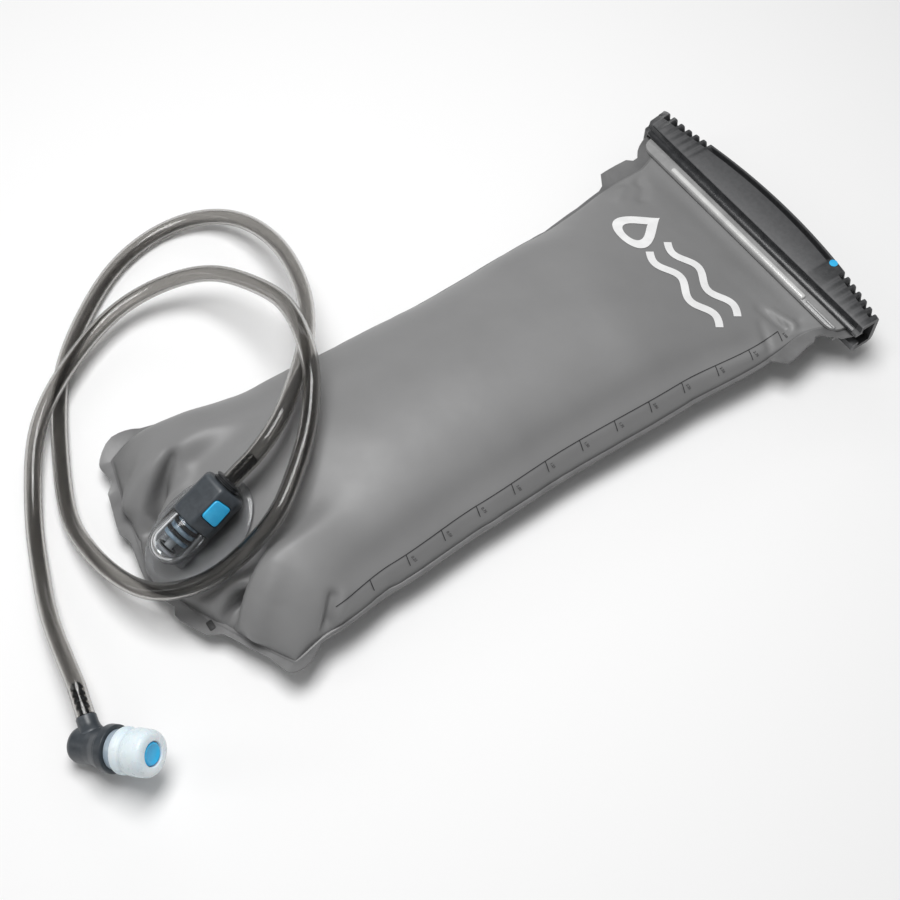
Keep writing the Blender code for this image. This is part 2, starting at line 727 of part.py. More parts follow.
def build_valve(materials, valve_axis, stub_axis):
    """The elbow and mouthpiece. Local Z is the valve axis, from the barrel's back end."""
    elbow = turned("valve_elbow", [
        (0.0, ELBOW_RIM), (0.0121, ELBOW_RIM), (0.0125, ELBOW_RIM - 0.0004), (0.0125, 0.0225),
        (0.0118, 0.0212), (0.0100, 0.0160), (0.0095, 0.0120), (0.0095, 0.0030),
        (0.0086, 0.0009), (0.0065, 0.0), (0.0, 0.0)], materials["slate"], valve_axis, 32)
    stub = turned("elbow_stub", [
        (0.0, STUB_LENGTH + BARB_LENGTH), *barb_profile(STUB_LENGTH),
        (STUB_RADIUS - 0.0004, STUB_LENGTH), (STUB_RADIUS, STUB_LENGTH - 0.0004),
        (STUB_RADIUS, 0.0), (0.0, 0.0)], materials["slate"], stub_axis, 24)
    combine(elbow, stub, "UNION")
    bore = cylinder("stem_bore", ELBOW_BORE, 0.0145, ELBOW_RIM + 0.002, materials["slate"],
                    valve_axis, 32)
    combine(elbow, bore, "DIFFERENCE")
    flow = cylinder("elbow_flow", FLOW_RADIUS, -0.0045, STUB_LENGTH + BARB_LENGTH + 0.002,
                    materials["slate"], stub_axis, 16)
    combine(elbow, flow, "DIFFERENCE")

    turned("bite_stem", [
        (0.0075, STEM_END), (0.0075, STEM_SHOULDER), (0.0104, STEM_SHOULDER),
        (0.0104, ELBOW_RIM + GAP), (STEM_RADIUS, ELBOW_RIM + GAP), (STEM_RADIUS, 0.0211),
        (0.0064, 0.0211), (0.0064, 0.0189), (STEM_RADIUS, 0.0189), (STEM_RADIUS, 0.0150),
        (FLOW_RADIUS, 0.0150), (FLOW_RADIUS, STEM_END)], materials["stem"], valve_axis, 32,
        closed=True)
    ring("stem_o_ring", 0.0074, 0.00072, 0.0200, materials["rubber"], valve_axis)
    turned("bite_cap", [
        (0.0100, CAP_END), (0.0114, CAP_END - 0.0008), (0.0122, CAP_END - 0.0028),
        (0.0122, 0.0385), (0.0112, 0.0375), (0.0112, 0.0360), (0.0122, 0.0350),
        (0.0122, STEM_SHOULDER + GAP), (0.0078, STEM_SHOULDER + GAP), (0.0078, STEM_END + GAP),
        (CORE_RADIUS + GAP, STEM_END + GAP), (CORE_RADIUS + GAP, CAP_END)],
        materials["silicone"], valve_axis, 32, closed=True)
    turned("bite_core", [
        (0.0, CAP_END - 0.0012), (CORE_RADIUS - 0.0012, CAP_END - 0.0004),
        (CORE_RADIUS, CAP_END - 0.0012), (CORE_RADIUS, 0.0450), (0.0030, 0.0440),
        (0.0030, STEM_END + GAP), (0.0, STEM_END + GAP)], materials["blue"], valve_axis, 24)


# ---------------------------------------------------------------- assembly

def make_materials():
    return {
        "film": make_material("film", (0.150, 0.150, 0.150), 0.45),
        "rail": make_material("rail", (0.420, 0.420, 0.420), 0.30),
        "slider": make_material("slider", (0.040, 0.041, 0.043), 0.50),
        "blue": make_material("blue", (0.022, 0.407, 0.759), 0.40),
        "clear": make_material("clear", (0.550, 0.570, 0.590), 0.10),
        "slate": make_material("slate", (0.070, 0.085, 0.107), 0.45),
        "rubber": make_material("rubber", (0.015, 0.015, 0.016), 0.70),
        "steel": make_material("steel", (0.550, 0.560, 0.570), 0.25, 1.0),
        "poppet": make_material("poppet", (0.450, 0.460, 0.470), 0.35),
        "tube": make_material("tube", (0.170, 0.155, 0.135), 0.20),
        "stem": make_material("stem", (0.420, 0.560, 0.720), 0.15),
        "silicone": make_material("silicone", (0.700, 0.800, 0.860), 0.40),
    }


def build():
    materials = make_materials()
    shift = Vector((FRAME_SHIFT_X, 0.0, 0.0))
    plug_axis = add_axis("plug_axis", Matrix.Translation(NECK + shift)
                         @ Matrix.Rotation(PORT_YAW, 4, "Z")
                         @ Matrix.Rotation(math.pi / 2.0 - PORT_PITCH, 4, "Y"))
    inlet_axis = add_axis("inlet_axis", axis_matrix(Vector((0.0, 0.0, INLET_AT)),
                                                    Vector((1.0, 0.0, 0.0))), plug_axis)
    valve_line = direction(VALVE_AZIMUTH, VALVE_PITCH)
    valve_axis = add_axis("valve_axis", axis_matrix(VALVE_BACK + shift, valve_line))
    stub_axis = add_axis("stub_axis", axis_matrix(VALVE_BACK + shift + valve_line * STUB_AT,
                                                  direction(STUB_AZIMUTH, STUB_PITCH)))
    bpy.context.view_layer.update()

    build_bag(materials, inlet_axis)
    build_closure(materials)
    for part in list(PARTS.objects) + list(CUTTERS.objects):
        if part.parent is None and part.type != "EMPTY":
            part.location.x += FRAME_SHIFT_X
    build_port(materials, plug_axis, inlet_axis)
    build_poppet(materials, plug_axis)
    housing = build_plug(materials, plug_axis)
    build_button(materials, plug_axis, housing)
    build_tube(materials, plug_axis, stub_axis)
    build_valve(materials, valve_axis, stub_axis)
    bpy.context.view_layer.update()


clear_scene()
PARTS = make_collection("hydration_bladder")
CUTTERS = make_collection("cutters")
build()
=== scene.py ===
"""Looks of the hydration bladder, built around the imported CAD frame.

Metres, +Z up, in the CAD's own frame: X runs from the hose port end (-X) to the slide closure
(+X), Y across the bag, and Z = 0 is the surface that the filled bag lies on.
"""

from math import cos, exp, hypot, log, pi, radians, sin, sqrt

import bmesh
import bpy
import numpy as np
from mathutils import Matrix, Vector
from mathutils.bvhtree import BVHTree
from mathutils.kdtree import KDTree


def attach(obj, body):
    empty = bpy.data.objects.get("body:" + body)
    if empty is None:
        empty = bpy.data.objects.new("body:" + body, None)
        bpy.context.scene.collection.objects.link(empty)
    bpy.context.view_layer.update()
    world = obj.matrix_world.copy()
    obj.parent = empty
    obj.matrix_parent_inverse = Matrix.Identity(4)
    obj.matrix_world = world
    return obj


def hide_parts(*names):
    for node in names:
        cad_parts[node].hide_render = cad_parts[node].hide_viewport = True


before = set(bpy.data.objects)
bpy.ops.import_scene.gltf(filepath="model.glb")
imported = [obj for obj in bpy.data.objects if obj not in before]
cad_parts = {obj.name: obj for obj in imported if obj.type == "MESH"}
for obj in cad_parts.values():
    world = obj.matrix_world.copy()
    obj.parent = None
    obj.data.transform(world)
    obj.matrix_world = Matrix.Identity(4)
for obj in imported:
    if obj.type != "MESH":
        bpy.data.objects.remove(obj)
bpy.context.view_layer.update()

# Bag, in the CAD's sizes
BAG_END_X = -0.227
END_FLANGE = 0.006
FAR_BOW = 0.017
FAR_PULL = 0.055
FAR_PULL_SPAN = (-0.19, 0.175)
NEAR_BOW = 0.036
END_LENGTH = 0.055
MOUTH_X = 0.205
MOUTH_FLAT_X = 0.187
SHOULDER_LENGTH = 0.12
SEAM_Z = 0.026
END_SEAM_Z = 0.0115
SEAM_DROP_FROM = -0.155
BELLY = 0.034
CROWN = 0.033
LOBE_FROM = 0.03
LOBE_RISE = 0.017
PLATE_BLEND = 0.003
HALF_WIDTHS = (
    (-0.227, 0.072), (-0.209, 0.0815), (-0.19, 0.0855), (-0.16, 0.083), (-0.115, 0.078),
    (-0.055, 0.0745), (0.005, 0.0725), (0.085, 0.0745), (0.145, 0.0795), (0.177, 0.078),
    (0.205, 0.087),
)
FLAT_WIDTH = 0.178
MOUTH_GAP = 0.0007
BAG_ROWS = 116
BAG_COLUMNS = 56
ROW_CROWDING = 1.15

# Cloth simulation that fills the bag
CLOTH = {
    "quality": 8, "mass": 0.0012, "tension_stiffness": 40.0, "compression_stiffness": 12.0,
    "shear_stiffness": 12.0, "bending_stiffness": 0.02, "tension_damping": 8.0,
    "compression_damping": 8.0, "shear_damping": 8.0, "bending_damping": 0.6, "air_damping": 4.0,
    "use_pressure": True, "uniform_pressure_force": 0.25, "use_pressure_volume": True,
    "pressure_factor": 3.0, "fluid_density": 1.0,
}
CLOTH_FRAMES = 40
FILLED = 1.02
FLOOR_GAP = 0.0006
LONGEST_MOVE = 0.016
SOFT_PASSES = 60
CALM_FROM = 0.17
CALM_TO = 0.82
CALM_BLEND = 0.12
PLATE_MARGIN = 0.002
SEAM_SPREAD = 5

# Corners of the port end where the weld flange stands out in a point
FAR_EAR = (-0.196, 0.085)
NEAR_EAR = (-0.18, -0.083)
TAB_SLOT = Vector((-0.205, -0.038, 0.013))
FLANGE_HALF = 0.0004
FLANGE_WIDTH = 0.0026

# Folds of the front film: (x, y) of both ends, depth at both ends, and half-width; a ridge has
# a negative depth
FOLDS = (
    ((-0.18, 0.047), (-0.212, 0.027), 0.005, 0.023, 0.0034),
    ((-0.184, 0.061), (-0.21, 0.046), -0.001, -0.005, 0.0065),
    ((-0.176, 0.036), (-0.207, 0.018), -0.0012, -0.003, 0.0045),
    ((-0.168, -0.027), (-0.202, -0.046), 0.005, 0.023, 0.0034),
    ((-0.169, -0.045), (-0.193, -0.062), -0.001, -0.0042, 0.007),
    ((-0.151, -0.0725), (-0.164, -0.085), 0.0035, 0.006, 0.0026),
    ((-0.144, -0.074), (-0.156, -0.085), -0.001, -0.0015, 0.003),
    ((0.164, -0.051), (0.17, -0.07), 0.001, 0.0026, 0.0024),
    ((0.1705, -0.056), (0.176, -0.072), -0.001, -0.0022, 0.0026),
    ((0.158, -0.06), (0.15, -0.082), 0.0008, 0.0024, 0.0026),
    ((0.18, -0.07), (0.17, -0.09), 0.001, 0.0024, 0.0024),
    ((0.16, 0.056), (0.169, 0.065), 0.0014, 0.0014, 0.0035),
    ((0.169, 0.07), (0.177, 0.079), 0.0018, 0.0018, 0.003),
    ((0.148, 0.064), (0.156, 0.07), -0.0012, -0.0012, 0.004),
)
FOLD_FADE = 0.008

# Print: where the scale's line runs, the hollow beside it and the slight ridge under it (depth,
# distance from the line and half-width), and the slant along which prints are laid on the film
SCALE_INSET = 0.0047
WALL_HOLLOW = (0.0012, 0.009, 0.0065)
WALL_RIDGE = (-0.001, 0.0, 0.0035)
SCALE_START = -0.1531
SCALE_END = 0.1601
FIRST_TICK = -0.13
TICKS = 13
INK_WIDTH = 0.0005
WAVE_LENGTH = 0.0335
WAVE_HEIGHT = 0.0034
PRINT_LEVEL = 0.037
PRINT_SLANT = Vector((0.313, 0.425, -0.849))

# Port, plug and hose
PORT_PITCH = radians(23.0)
PORT_YAW = radians(7.0)
NECK = Vector((-0.164, 0.006, 0.06))
AXIS_HEIGHT = 0.013
PLATE_THICKNESS = 0.0025
PLATE_SIZE = (0.072, 0.05)
PLATE_CENTRE = -0.0335
PLATE_GAP = 0.0003
HOUSING_FRONT = -0.03
HOUSING_REAR = -0.004
BARB_LENGTH = 0.018
BUTTON_CENTRE = -0.0165
BUTTON_RECESS = (0.015, 0.0074)
HOSE_RADIUS = 0.005
HOSE_BORE = 0.0036
HOSE_START = 0.0003
HOSE_SIDES = 28
ROUTE_SPACING = 0.004
RELAX_PASSES = 14
STRAIGHT_POINTS = 5

# Bite valve
VALVE_BACK = Vector((-0.298, -0.056, 0.009))
VALVE_AZIMUTH = radians(-52.0)
VALVE_PITCH = radians(26.0)
STUB_AZIMUTH = radians(78.0)
STUB_PITCH = radians(11.0)
STUB_AT = 0.013
STUB_LENGTH = 0.0165

# The hose's route between its two straight ends, the CAD's own points
HOSE_ROUTE = (
    (-0.1315, 0.0118, 0.0742), (-0.1165, 0.0228, 0.0753), (-0.1005, 0.0385, 0.0712),
    (-0.083, 0.06, 0.062), (-0.068, 0.085, 0.053), (-0.056, 0.114, 0.042),
    (-0.048, 0.152, 0.03), (-0.051, 0.188, 0.019), (-0.065, 0.211, 0.011),
    (-0.088, 0.221, 0.0065), (-0.114, 0.219, 0.0053), (-0.144, 0.206, 0.0053),
    (-0.1865, 0.171, 0.0053), (-0.211, 0.136, 0.0053), (-0.238, 0.073, 0.007),
    (-0.241, 0.043, 0.013), (-0.238, 0.015, 0.0208), (-0.2285, -0.0112, 0.0293),
    (-0.2115, -0.0257, 0.038), (-0.191, -0.031, 0.045), (-0.156, -0.027, 0.06),
    (-0.138, -0.015, 0.0665), (-0.119, 0.001, 0.0695), (-0.104, 0.019, 0.074),
    (-0.094, 0.035, 0.0785), (-0.087, 0.056, 0.0755), (-0.081, 0.078, 0.067),
    (-0.079, 0.106, 0.0545), (-0.095, 0.156, 0.032), (-0.135, 0.174, 0.019),
    (-0.1765, 0.163, 0.016), (-0.225, 0.129, 0.0145), (-0.2535, 0.084, 0.0053),
    (-0.269, 0.043, 0.0068), (-0.278, 0.01, 0.015),
)

# Slide closure
SLIDER_HALF_LENGTH = 0.1
SLIDER_INNER_X = 0.197
SLIDER_TIP_X = 0.2145
SLIDER_BOW = 0.0125
SLIDER_TOP = 0.011
SLOT_HALF = 0.0041
CHANNEL_START = 0.2022
CHANNEL_END = 0.2113
CHANNEL_HALF = 0.0078
GROOVE_DEPTH = 0.0042
SLIDER_WALL = 0.0035
RIDGE_BACK = 0.0062

# Camera: the view's azimuth, elevation, roll, aim and distance
CAMERA_AZIMUTH = radians(-36.36)
CAMERA_ELEVATION = radians(58.12)
CAMERA_ROLL = radians(1.74)
CAMERA_AIM = Vector((-0.046, -0.0288, 0.03))
CAMERA_DISTANCE = 0.8421
CAMERA_LENS = 60.0

# Lights: place, aim, width and height, and power
LIGHTS = {
    "key": ((-0.1, 0.1, 1.2), (-0.05, 0.02, 0), (0.75, 0.55), 13.0),
    "left": ((-1.2, 0.5, 0.7), (-0.1, 0, 0), (0.25, 1.1), 1.4),
    "back": ((0.5, 1.2, 0.7), (0, 0, 0), (1.1, 0.25), 1.2),
}
WORLD_STRENGTH = 0.24


# ---------------- small helpers

def spaced(first, last, steps):
    return [first + (last - first) * k / steps for k in range(steps + 1)]


def smoothstep(value):
    """Rises from 0 to 1 without a corner as the value does."""
    value = min(max(value, 0.0), 1.0)
    return value * value * (3.0 - 2.0 * value)


def direction(azimuth, pitch):
    return Vector((cos(pitch) * cos(azimuth), cos(pitch) * sin(azimuth), sin(pitch)))


def axis_matrix(origin, z_axis):
    return Matrix.Translation(origin) @ z_axis.to_track_quat("Z", "Y").to_matrix().to_4x4()


PLUG = (Matrix.Translation(NECK) @ Matrix.Rotation(PORT_YAW, 4, "Z")
        @ Matrix.Rotation(pi / 2.0 - PORT_PITCH, 4, "Y"))
VALVE_LINE = direction(VALVE_AZIMUTH, VALVE_PITCH)
VALVE = axis_matrix(VALVE_BACK, VALVE_LINE)
STUB = axis_matrix(VALVE_BACK + VALVE_LINE * STUB_AT, direction(STUB_AZIMUTH, STUB_PITCH))


def link(name, data):
    piece = bpy.data.objects.new(name, data)
    bpy.context.scene.collection.objects.link(piece)
    return piece


def mesh_piece(name, vertices, faces, smooth_angle=40.0):
    mesh = bpy.data.meshes.new(name)
    mesh.from_pydata([tuple(v) for v in vertices], [], faces)
    mesh.validate()
    shape = bmesh.new()
    shape.from_mesh(mesh)
    bmesh.ops.remove_doubles(shape, verts=shape.verts, dist=0.000004)
    bmesh.ops.recalc_face_normals(shape, faces=shape.faces)
    shape.to_mesh(mesh)
    shape.free()
    mesh.shade_smooth()
    mesh.set_sharp_from_angle(angle=radians(smooth_angle))
    return link(name, mesh)


def paint(piece, material):
    piece.data.materials.clear()
    piece.data.materials.append(MAT[material])


def finish_piece(piece, body, slot, material, *nodes):
    """Gives a piece its material, body and the CAD nodes that it stands for; its slot is not used.
    """
    paint(piece, material)
    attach(piece, body)
    if nodes:
        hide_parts(*nodes)


def grid_faces(rows, columns, wrap_rows=False, wrap_columns=True, start=0):
    """Faces over a grid of points that are stored row by row."""
    faces = []
    for i in range(rows if wrap_rows else rows - 1):
        for k in range(columns if wrap_columns else columns - 1):
            here = start + i * columns
            after = start + (i + 1) % rows * columns
            turn = (k + 1) % columns
            faces.append((here + k, here + turn, after + turn, after + k))
    return faces


def rounded(profile, radius, steps=4, closed=True):
    """Rounds an outline's corners with small curves of about the given radius."""
    count = len(profile)
    result = []
    for k, corner in enumerate(profile):
        if not closed and k in (0, count - 1):
            result.append(tuple(corner))
            continue
        here = Vector(corner)
        before = Vector(profile[k - 1]) - here
        after = Vector(profile[(k + 1) % count]) - here
        reach = min(radius, before.length * 0.45, after.length * 0.45)
        start = here + before.normalized() * reach
        end = here + after.normalized() * reach
        for step in range(steps + 1):
            t = step / steps
            result.append(tuple(start * (1 - t) ** 2 + here * 2 * t * (1 - t) + end * t ** 2))
    return result


def rectangle(x0, x1, y0, y1, grow, radius, steps=5):
    """The outline of a rectangle with rounded corners, grown on all sides."""
    return rounded([(x0 - grow, y0 - grow), (x1 + grow, y0 - grow), (x1 + grow, y1 + grow),
                    (x0 - grow, y1 + grow)], radius, steps)


def turned(name, profile, matrix, steps=72, closed=False):
    """A piece turned around the matrix's Z axis, from (radius, height) points."""
    vertices = []
    for k in range(steps):
        turn = 2.0 * pi * k / steps
        for radius, height in profile:
            vertices.append(matrix @ Vector((radius * cos(turn), radius * sin(turn), height)))
    return mesh_piece(name, vertices, grid_faces(steps, len(profile), True, closed))


def loft(name, sections, matrix=Matrix(), smooth_angle=40.0):
    """Closed loops of equal length, joined in order and capped at both ends."""
    vertices = [matrix @ Vector(point) for loop in sections for point in loop]
    size = len(sections[0])
    faces = grid_faces(len(sections), size)
    faces.append(tuple(range(size)))
    last = (len(sections) - 1) * size
    faces.append(tuple(range(last + size - 1, last - 1, -1)))
    return mesh_piece(name, vertices, faces, smooth_angle)


def stack(name, layers, matrix=Matrix(), smooth_angle=40.0):
    """Flat outlines, each at its own height, joined in order and capped at both ends."""
    return loft(name, [[(x, y, height) for x, y in outline] for height, outline in layers],
                matrix, smooth_angle)


def catmull_rom(a, b, c, d, t):
    return 0.5 * ((2.0 * b) + (c - a) * t + (2.0 * a - 5.0 * b + 4.0 * c - d) * t ** 2
                  + (3.0 * b - a - 3.0 * c + d) * t ** 3)


def smooth_route(points, spacing):
    """Points every spacing along a smooth curve through the given points."""
    padded = [points[0] * 2.0 - points[1], *points, points[-1] * 2.0 - points[-2]]
    fine = []
    for k in range(1, len(padded) - 2):
        for step in range(20):
            fine.append(catmull_rom(*padded[k - 1:k + 3], step / 20.0))
    fine.append(points[-1])
    lengths = [0.0]
    for a, b in zip(fine, fine[1:]):
        lengths.append(lengths[-1] + (b - a).length)
    count = round(lengths[-1] / spacing)
    chosen = []
    at = 0
    for k in range(count + 1):
        goal = lengths[-1] * k / count
        while at < len(fine) - 2 and lengths[at + 1] < goal:
            at += 1
        share = (goal - lengths[at]) / (lengths[at + 1] - lengths[at])
        chosen.append(fine[at].lerp(fine[at + 1], share))
    return chosen


# ---------------- materials

class Material:
    """A Principled material whose colour, roughness and bump come from nodes."""

    def __init__(self, name, colour, roughness, **sockets):
        self.name = name
        self.material = bpy.data.materials.new(name)
        self.material.use_nodes = True
        self.nodes = self.material.node_tree.nodes
        self.links = self.material.node_tree.links
        self.shader = self.nodes["Principled BSDF"]
        self.shader.inputs["Base Color"].default_value = (*colour, 1.0)
        self.shader.inputs["Roughness"].default_value = roughness
        for socket, value in sockets.items():
            self.shader.inputs[socket.replace("_", " ")].default_value = value
        self.place = self.node("TexCoord").outputs["Object"]
        self.relief = None

    def node(self, kind, **inputs):
        made = self.nodes.new("ShaderNode" + kind)
        for socket, value in inputs.items():
            made.inputs[socket.replace("_", " ")].default_value = value
        return made

    def noise(self, scale):
        texture = self.node("TexNoise", Scale=scale, Detail=3.0)
        self.links.new(self.place, texture.inputs["Vector"])
        return texture.outputs["Fac"]

    def mottle(self, scale, low, high, start=0.35, end=0.65):
        """Varies the base colour between two colours."""
        ramp = self.node("ValToRGB")
        for stop, place, colour in zip(ramp.color_ramp.elements, (start, end), (low, high)):
            stop.position = place
            stop.color = (*colour, 1.0)
        self.links.new(self.noise(scale), ramp.inputs["Fac"])
        self.links.new(ramp.outputs["Color"], self.shader.inputs["Base Color"])
        return self

    def painted_edge_highlight(self, colour, amount):
        """Lightens the convex edges of a mottled colour: a painted highlight along the edges."""
        edge = self.node("MapRange", From_Min=0.53, From_Max=0.6, To_Max=amount)
        self.links.new(self.node("NewGeometry").outputs["Pointiness"], edge.inputs["Value"])
        mix = self.node("Mix")
        mix.data_type = "RGBA"
        self.links.new(edge.outputs["Result"], mix.inputs["Factor"])
        base = self.shader.inputs["Base Color"]
        self.links.new(base.links[0].from_socket, mix.inputs["A"])
        mix.inputs["B"].default_value = (*colour, 1.0)
        self.links.new(mix.outputs["Result"], base)
        return self

    def gloss(self, scale, low, high):
        """Varies the roughness."""
        spread = self.node("MapRange", To_Min=low, To_Max=high)
        self.links.new(self.noise(scale), spread.inputs["Value"])
        self.links.new(spread.outputs["Result"], self.shader.inputs["Roughness"])
        return self

    def grain(self, scale, depth, strength):
        """Adds a fine surface relief, depth in metres."""
        relief = self.node("Bump", Distance=depth, Strength=strength)
        self.links.new(self.noise(scale), relief.inputs["Height"])
        if self.relief:
            self.links.new(self.relief, relief.inputs["Normal"])
        self.relief = relief.outputs["Normal"]
        self.links.new(self.relief, self.shader.inputs["Normal"])
        return self


def make_materials():
    made = [
        Material("film", (0.215, 0.215, 0.216), 0.42)
        .mottle(26.0, (0.205, 0.205, 0.206), (0.226, 0.226, 0.227), 0.3, 0.72)
        .gloss(60.0, 0.36, 0.52).grain(900.0, 0.00005, 0.5).grain(28.0, 0.0012, 0.25),
        # seam: the film's grey darkened, a painted shade for the weld flange and its corner ears
        Material("seam", (0.165, 0.165, 0.166), 0.36)
        .mottle(90.0, (0.15, 0.15, 0.151), (0.185, 0.185, 0.186)).grain(700.0, 0.00006, 0.5),
        Material("rail", (0.62, 0.62, 0.61), 0.16)
        .mottle(120.0, (0.58, 0.58, 0.575), (0.68, 0.68, 0.67)).gloss(200.0, 0.12, 0.24),
        Material("rail_plate", (0.3, 0.3, 0.3), 0.22)
        .mottle(90.0, (0.27, 0.27, 0.27), (0.34, 0.34, 0.34)).gloss(200.0, 0.18, 0.3),
        # slider: its lightened convex edges are a painted highlight
        Material("slider", (0.036, 0.037, 0.039), 0.5)
        .mottle(420.0, (0.029, 0.03, 0.032), (0.046, 0.047, 0.049))
        .painted_edge_highlight((0.16, 0.16, 0.165), 0.7).gloss(300.0, 0.36, 0.56)
        .grain(2600.0, 0.00009, 0.8).grain(700.0, 0.00005, 0.4),
        # slate: its lightened convex edges are a painted highlight
        Material("slate", (0.042, 0.05, 0.058), 0.36)
        .mottle(300.0, (0.037, 0.044, 0.052), (0.05, 0.059, 0.068))
        .painted_edge_highlight((0.15, 0.17, 0.19), 0.6).gloss(250.0, 0.28, 0.44).grain(2400.0, 0.00005, 0.6),
        # dark: near-black for the hose barb, and for the painted shade strips in the slider
        Material("dark", (0.018, 0.019, 0.021), 0.22)
        .mottle(200.0, (0.015, 0.016, 0.018), (0.028, 0.029, 0.031)).gloss(200.0, 0.16, 0.3),
        Material("blue", (0.04, 0.47, 0.83), 0.34)
        .mottle(160.0, (0.034, 0.43, 0.79), (0.05, 0.52, 0.88))
        .gloss(300.0, 0.28, 0.42).grain(2200.0, 0.00004, 0.5),
        Material("clear", (0.86, 0.88, 0.9), 0.06, Transmission_Weight=1.0, IOR=1.45)
        .gloss(120.0, 0.03, 0.1).grain(260.0, 0.00008, 0.3),
        Material("clear_plate", (0.7, 0.71, 0.72), 0.1, Transmission_Weight=0.85, IOR=1.4)
        .gloss(120.0, 0.06, 0.16).grain(200.0, 0.0001, 0.4),
        Material("spigot", (0.3, 0.42, 0.52), 0.22, Transmission_Weight=0.15)
        .mottle(220.0, (0.22, 0.33, 0.43), (0.46, 0.58, 0.68)).gloss(200.0, 0.14, 0.3),
        Material("hose", (0.52, 0.51, 0.495), 0.06, Transmission_Weight=1.0, IOR=1.38)
        .gloss(90.0, 0.05, 0.12).grain(60.0, 0.00015, 0.3),
        Material("stem", (0.66, 0.8, 0.92), 0.1, Transmission_Weight=0.45, IOR=1.45)
        .gloss(150.0, 0.06, 0.16).mottle(150.0, (0.6, 0.74, 0.88), (0.74, 0.86, 0.95)),
        Material("silicone", (0.88, 0.95, 0.99), 0.28, Transmission_Weight=0.1, IOR=1.38,
                 Subsurface_Weight=0.12)
        .mottle(90.0, (0.82, 0.92, 0.98), (0.93, 0.98, 1.0)).gloss(180.0, 0.2, 0.36)
        .grain(400.0, 0.00005, 0.3),
        Material("rubber", (0.016, 0.016, 0.017), 0.55)
        .mottle(400.0, (0.012, 0.012, 0.013), (0.024, 0.024, 0.025)).gloss(300.0, 0.45, 0.65),
        Material("steel", (0.6, 0.61, 0.62), 0.22, Metallic=1.0)
        .gloss(500.0, 0.14, 0.32).mottle(300.0, (0.55, 0.56, 0.57), (0.66, 0.67, 0.68)),
        Material("acetal", (0.52, 0.53, 0.54), 0.34)
        .mottle(200.0, (0.48, 0.49, 0.5), (0.57, 0.58, 0.59)).grain(1500.0, 0.00005, 0.5),
        Material("print", (0.03, 0.03, 0.032), 0.5)
        .mottle(300.0, (0.024, 0.024, 0.026), (0.04, 0.04, 0.042)),
        Material("mark", (0.86, 0.86, 0.86), 0.42)
        .mottle(120.0, (0.82, 0.82, 0.82), (0.9, 0.9, 0.9)).gloss(200.0, 0.36, 0.5),
    ]
    return {entry.name: entry.material for entry in made}


MAT = make_materials()


def apply_modifiers(piece):
    graph = bpy.context.evaluated_depsgraph_get()
    graph.update()
    done = bpy.data.meshes.new_from_object(piece.evaluated_get(graph))
    piece.modifiers.clear()
    piece.data = done


# ---------------- bag

def half_width(x):
    if x <= HALF_WIDTHS[0][0]:
        return HALF_WIDTHS[0][1]
    for (x0, w0), (x1, w1) in zip(HALF_WIDTHS, HALF_WIDTHS[1:]):
        if x <= x1:
            return w0 + (w1 - w0) * smoothstep((x - x0) / (x1 - x0))
    return HALF_WIDTHS[-1][1]


def seam_height(x):
    drop = smoothstep((SEAM_DROP_FROM - x) / (SEAM_DROP_FROM - BAG_END_X))
    return SEAM_Z + (END_SEAM_Z - SEAM_Z) * drop


def soft_min(a, b, blend):
    """The smaller of two heights, with the corner between them rounded."""
    return -blend * log(exp(-a / blend) + exp(-b / blend))


def port_plane(x, y):
    """Height of the sloping film under the port's plate."""
    normal = -(PLUG.to_3x3() @ Vector((1.0, 0.0, 0.0)))
    foot = NECK - normal * (AXIS_HEIGHT + PLATE_THICKNESS + PLATE_GAP)
    return foot.z - (normal.x * (x - foot.x) + normal.y * (y - foot.y)) / normal.z


def film_point(row, column, side):
    """A point of the filled bag: row 0 at the port end to 1 at the mouth, column -1 to 1."""
    angle = column * pi / 2.0
    bow = (FAR_BOW if column > 0.0 else NEAR_BOW) * abs(sin(angle)) ** 1.2
    start_x = BAG_END_X + END_FLANGE + bow
    x = start_x + (MOUTH_X - start_x) * row
    y = half_width(x) * sin(angle)
    if column > 0.0:
        start, end = FAR_PULL_SPAN
        y *= 1.0 - FAR_PULL * smoothstep((x - start) / 0.05) * smoothstep((end - x) / 0.06)
    across = max(cos(angle), 0.0) ** 0.85
    rise = min(max((x - start_x) / END_LENGTH, 0.0), 1.0)
    full = sqrt(1.0 - (1.0 - rise) ** 2.3)
    full *= smoothstep((MOUTH_FLAT_X - x) / SHOULDER_LENGTH) ** 0.75
    seam = seam_height(x)
    gap = MOUTH_GAP * smoothstep(row * 4.0) * min(across * 6.0, 1.0)
    if side < 0:
        return Vector((x, y, max(seam - gap - BELLY * full * across, FLOOR_GAP)))
    crowned = seam + gap + CROWN * full * across
    flat = smoothstep((LOBE_FROM + LOBE_RISE - abs(y - NECK.y)) / LOBE_RISE)
    pressed = soft_min(crowned, port_plane(x, y), PLATE_BLEND)
    height = crowned + (pressed - crowned) * flat
    return Vector((x, y, max(height, seam)))


def on_plate(point):
    """Whether a point is inside the port plate's oval or close to it."""
    local = PLUG.inverted() @ point
    along = (local.z - PLATE_CENTRE) / (PLATE_SIZE[0] / 2.0 + PLATE_MARGIN)
    across = local.y / (PLATE_SIZE[1] / 2.0 + PLATE_MARGIN)
    return along ** 2 + across ** 2 < 1.0 and abs(local.x - AXIS_HEIGHT) < 0.012


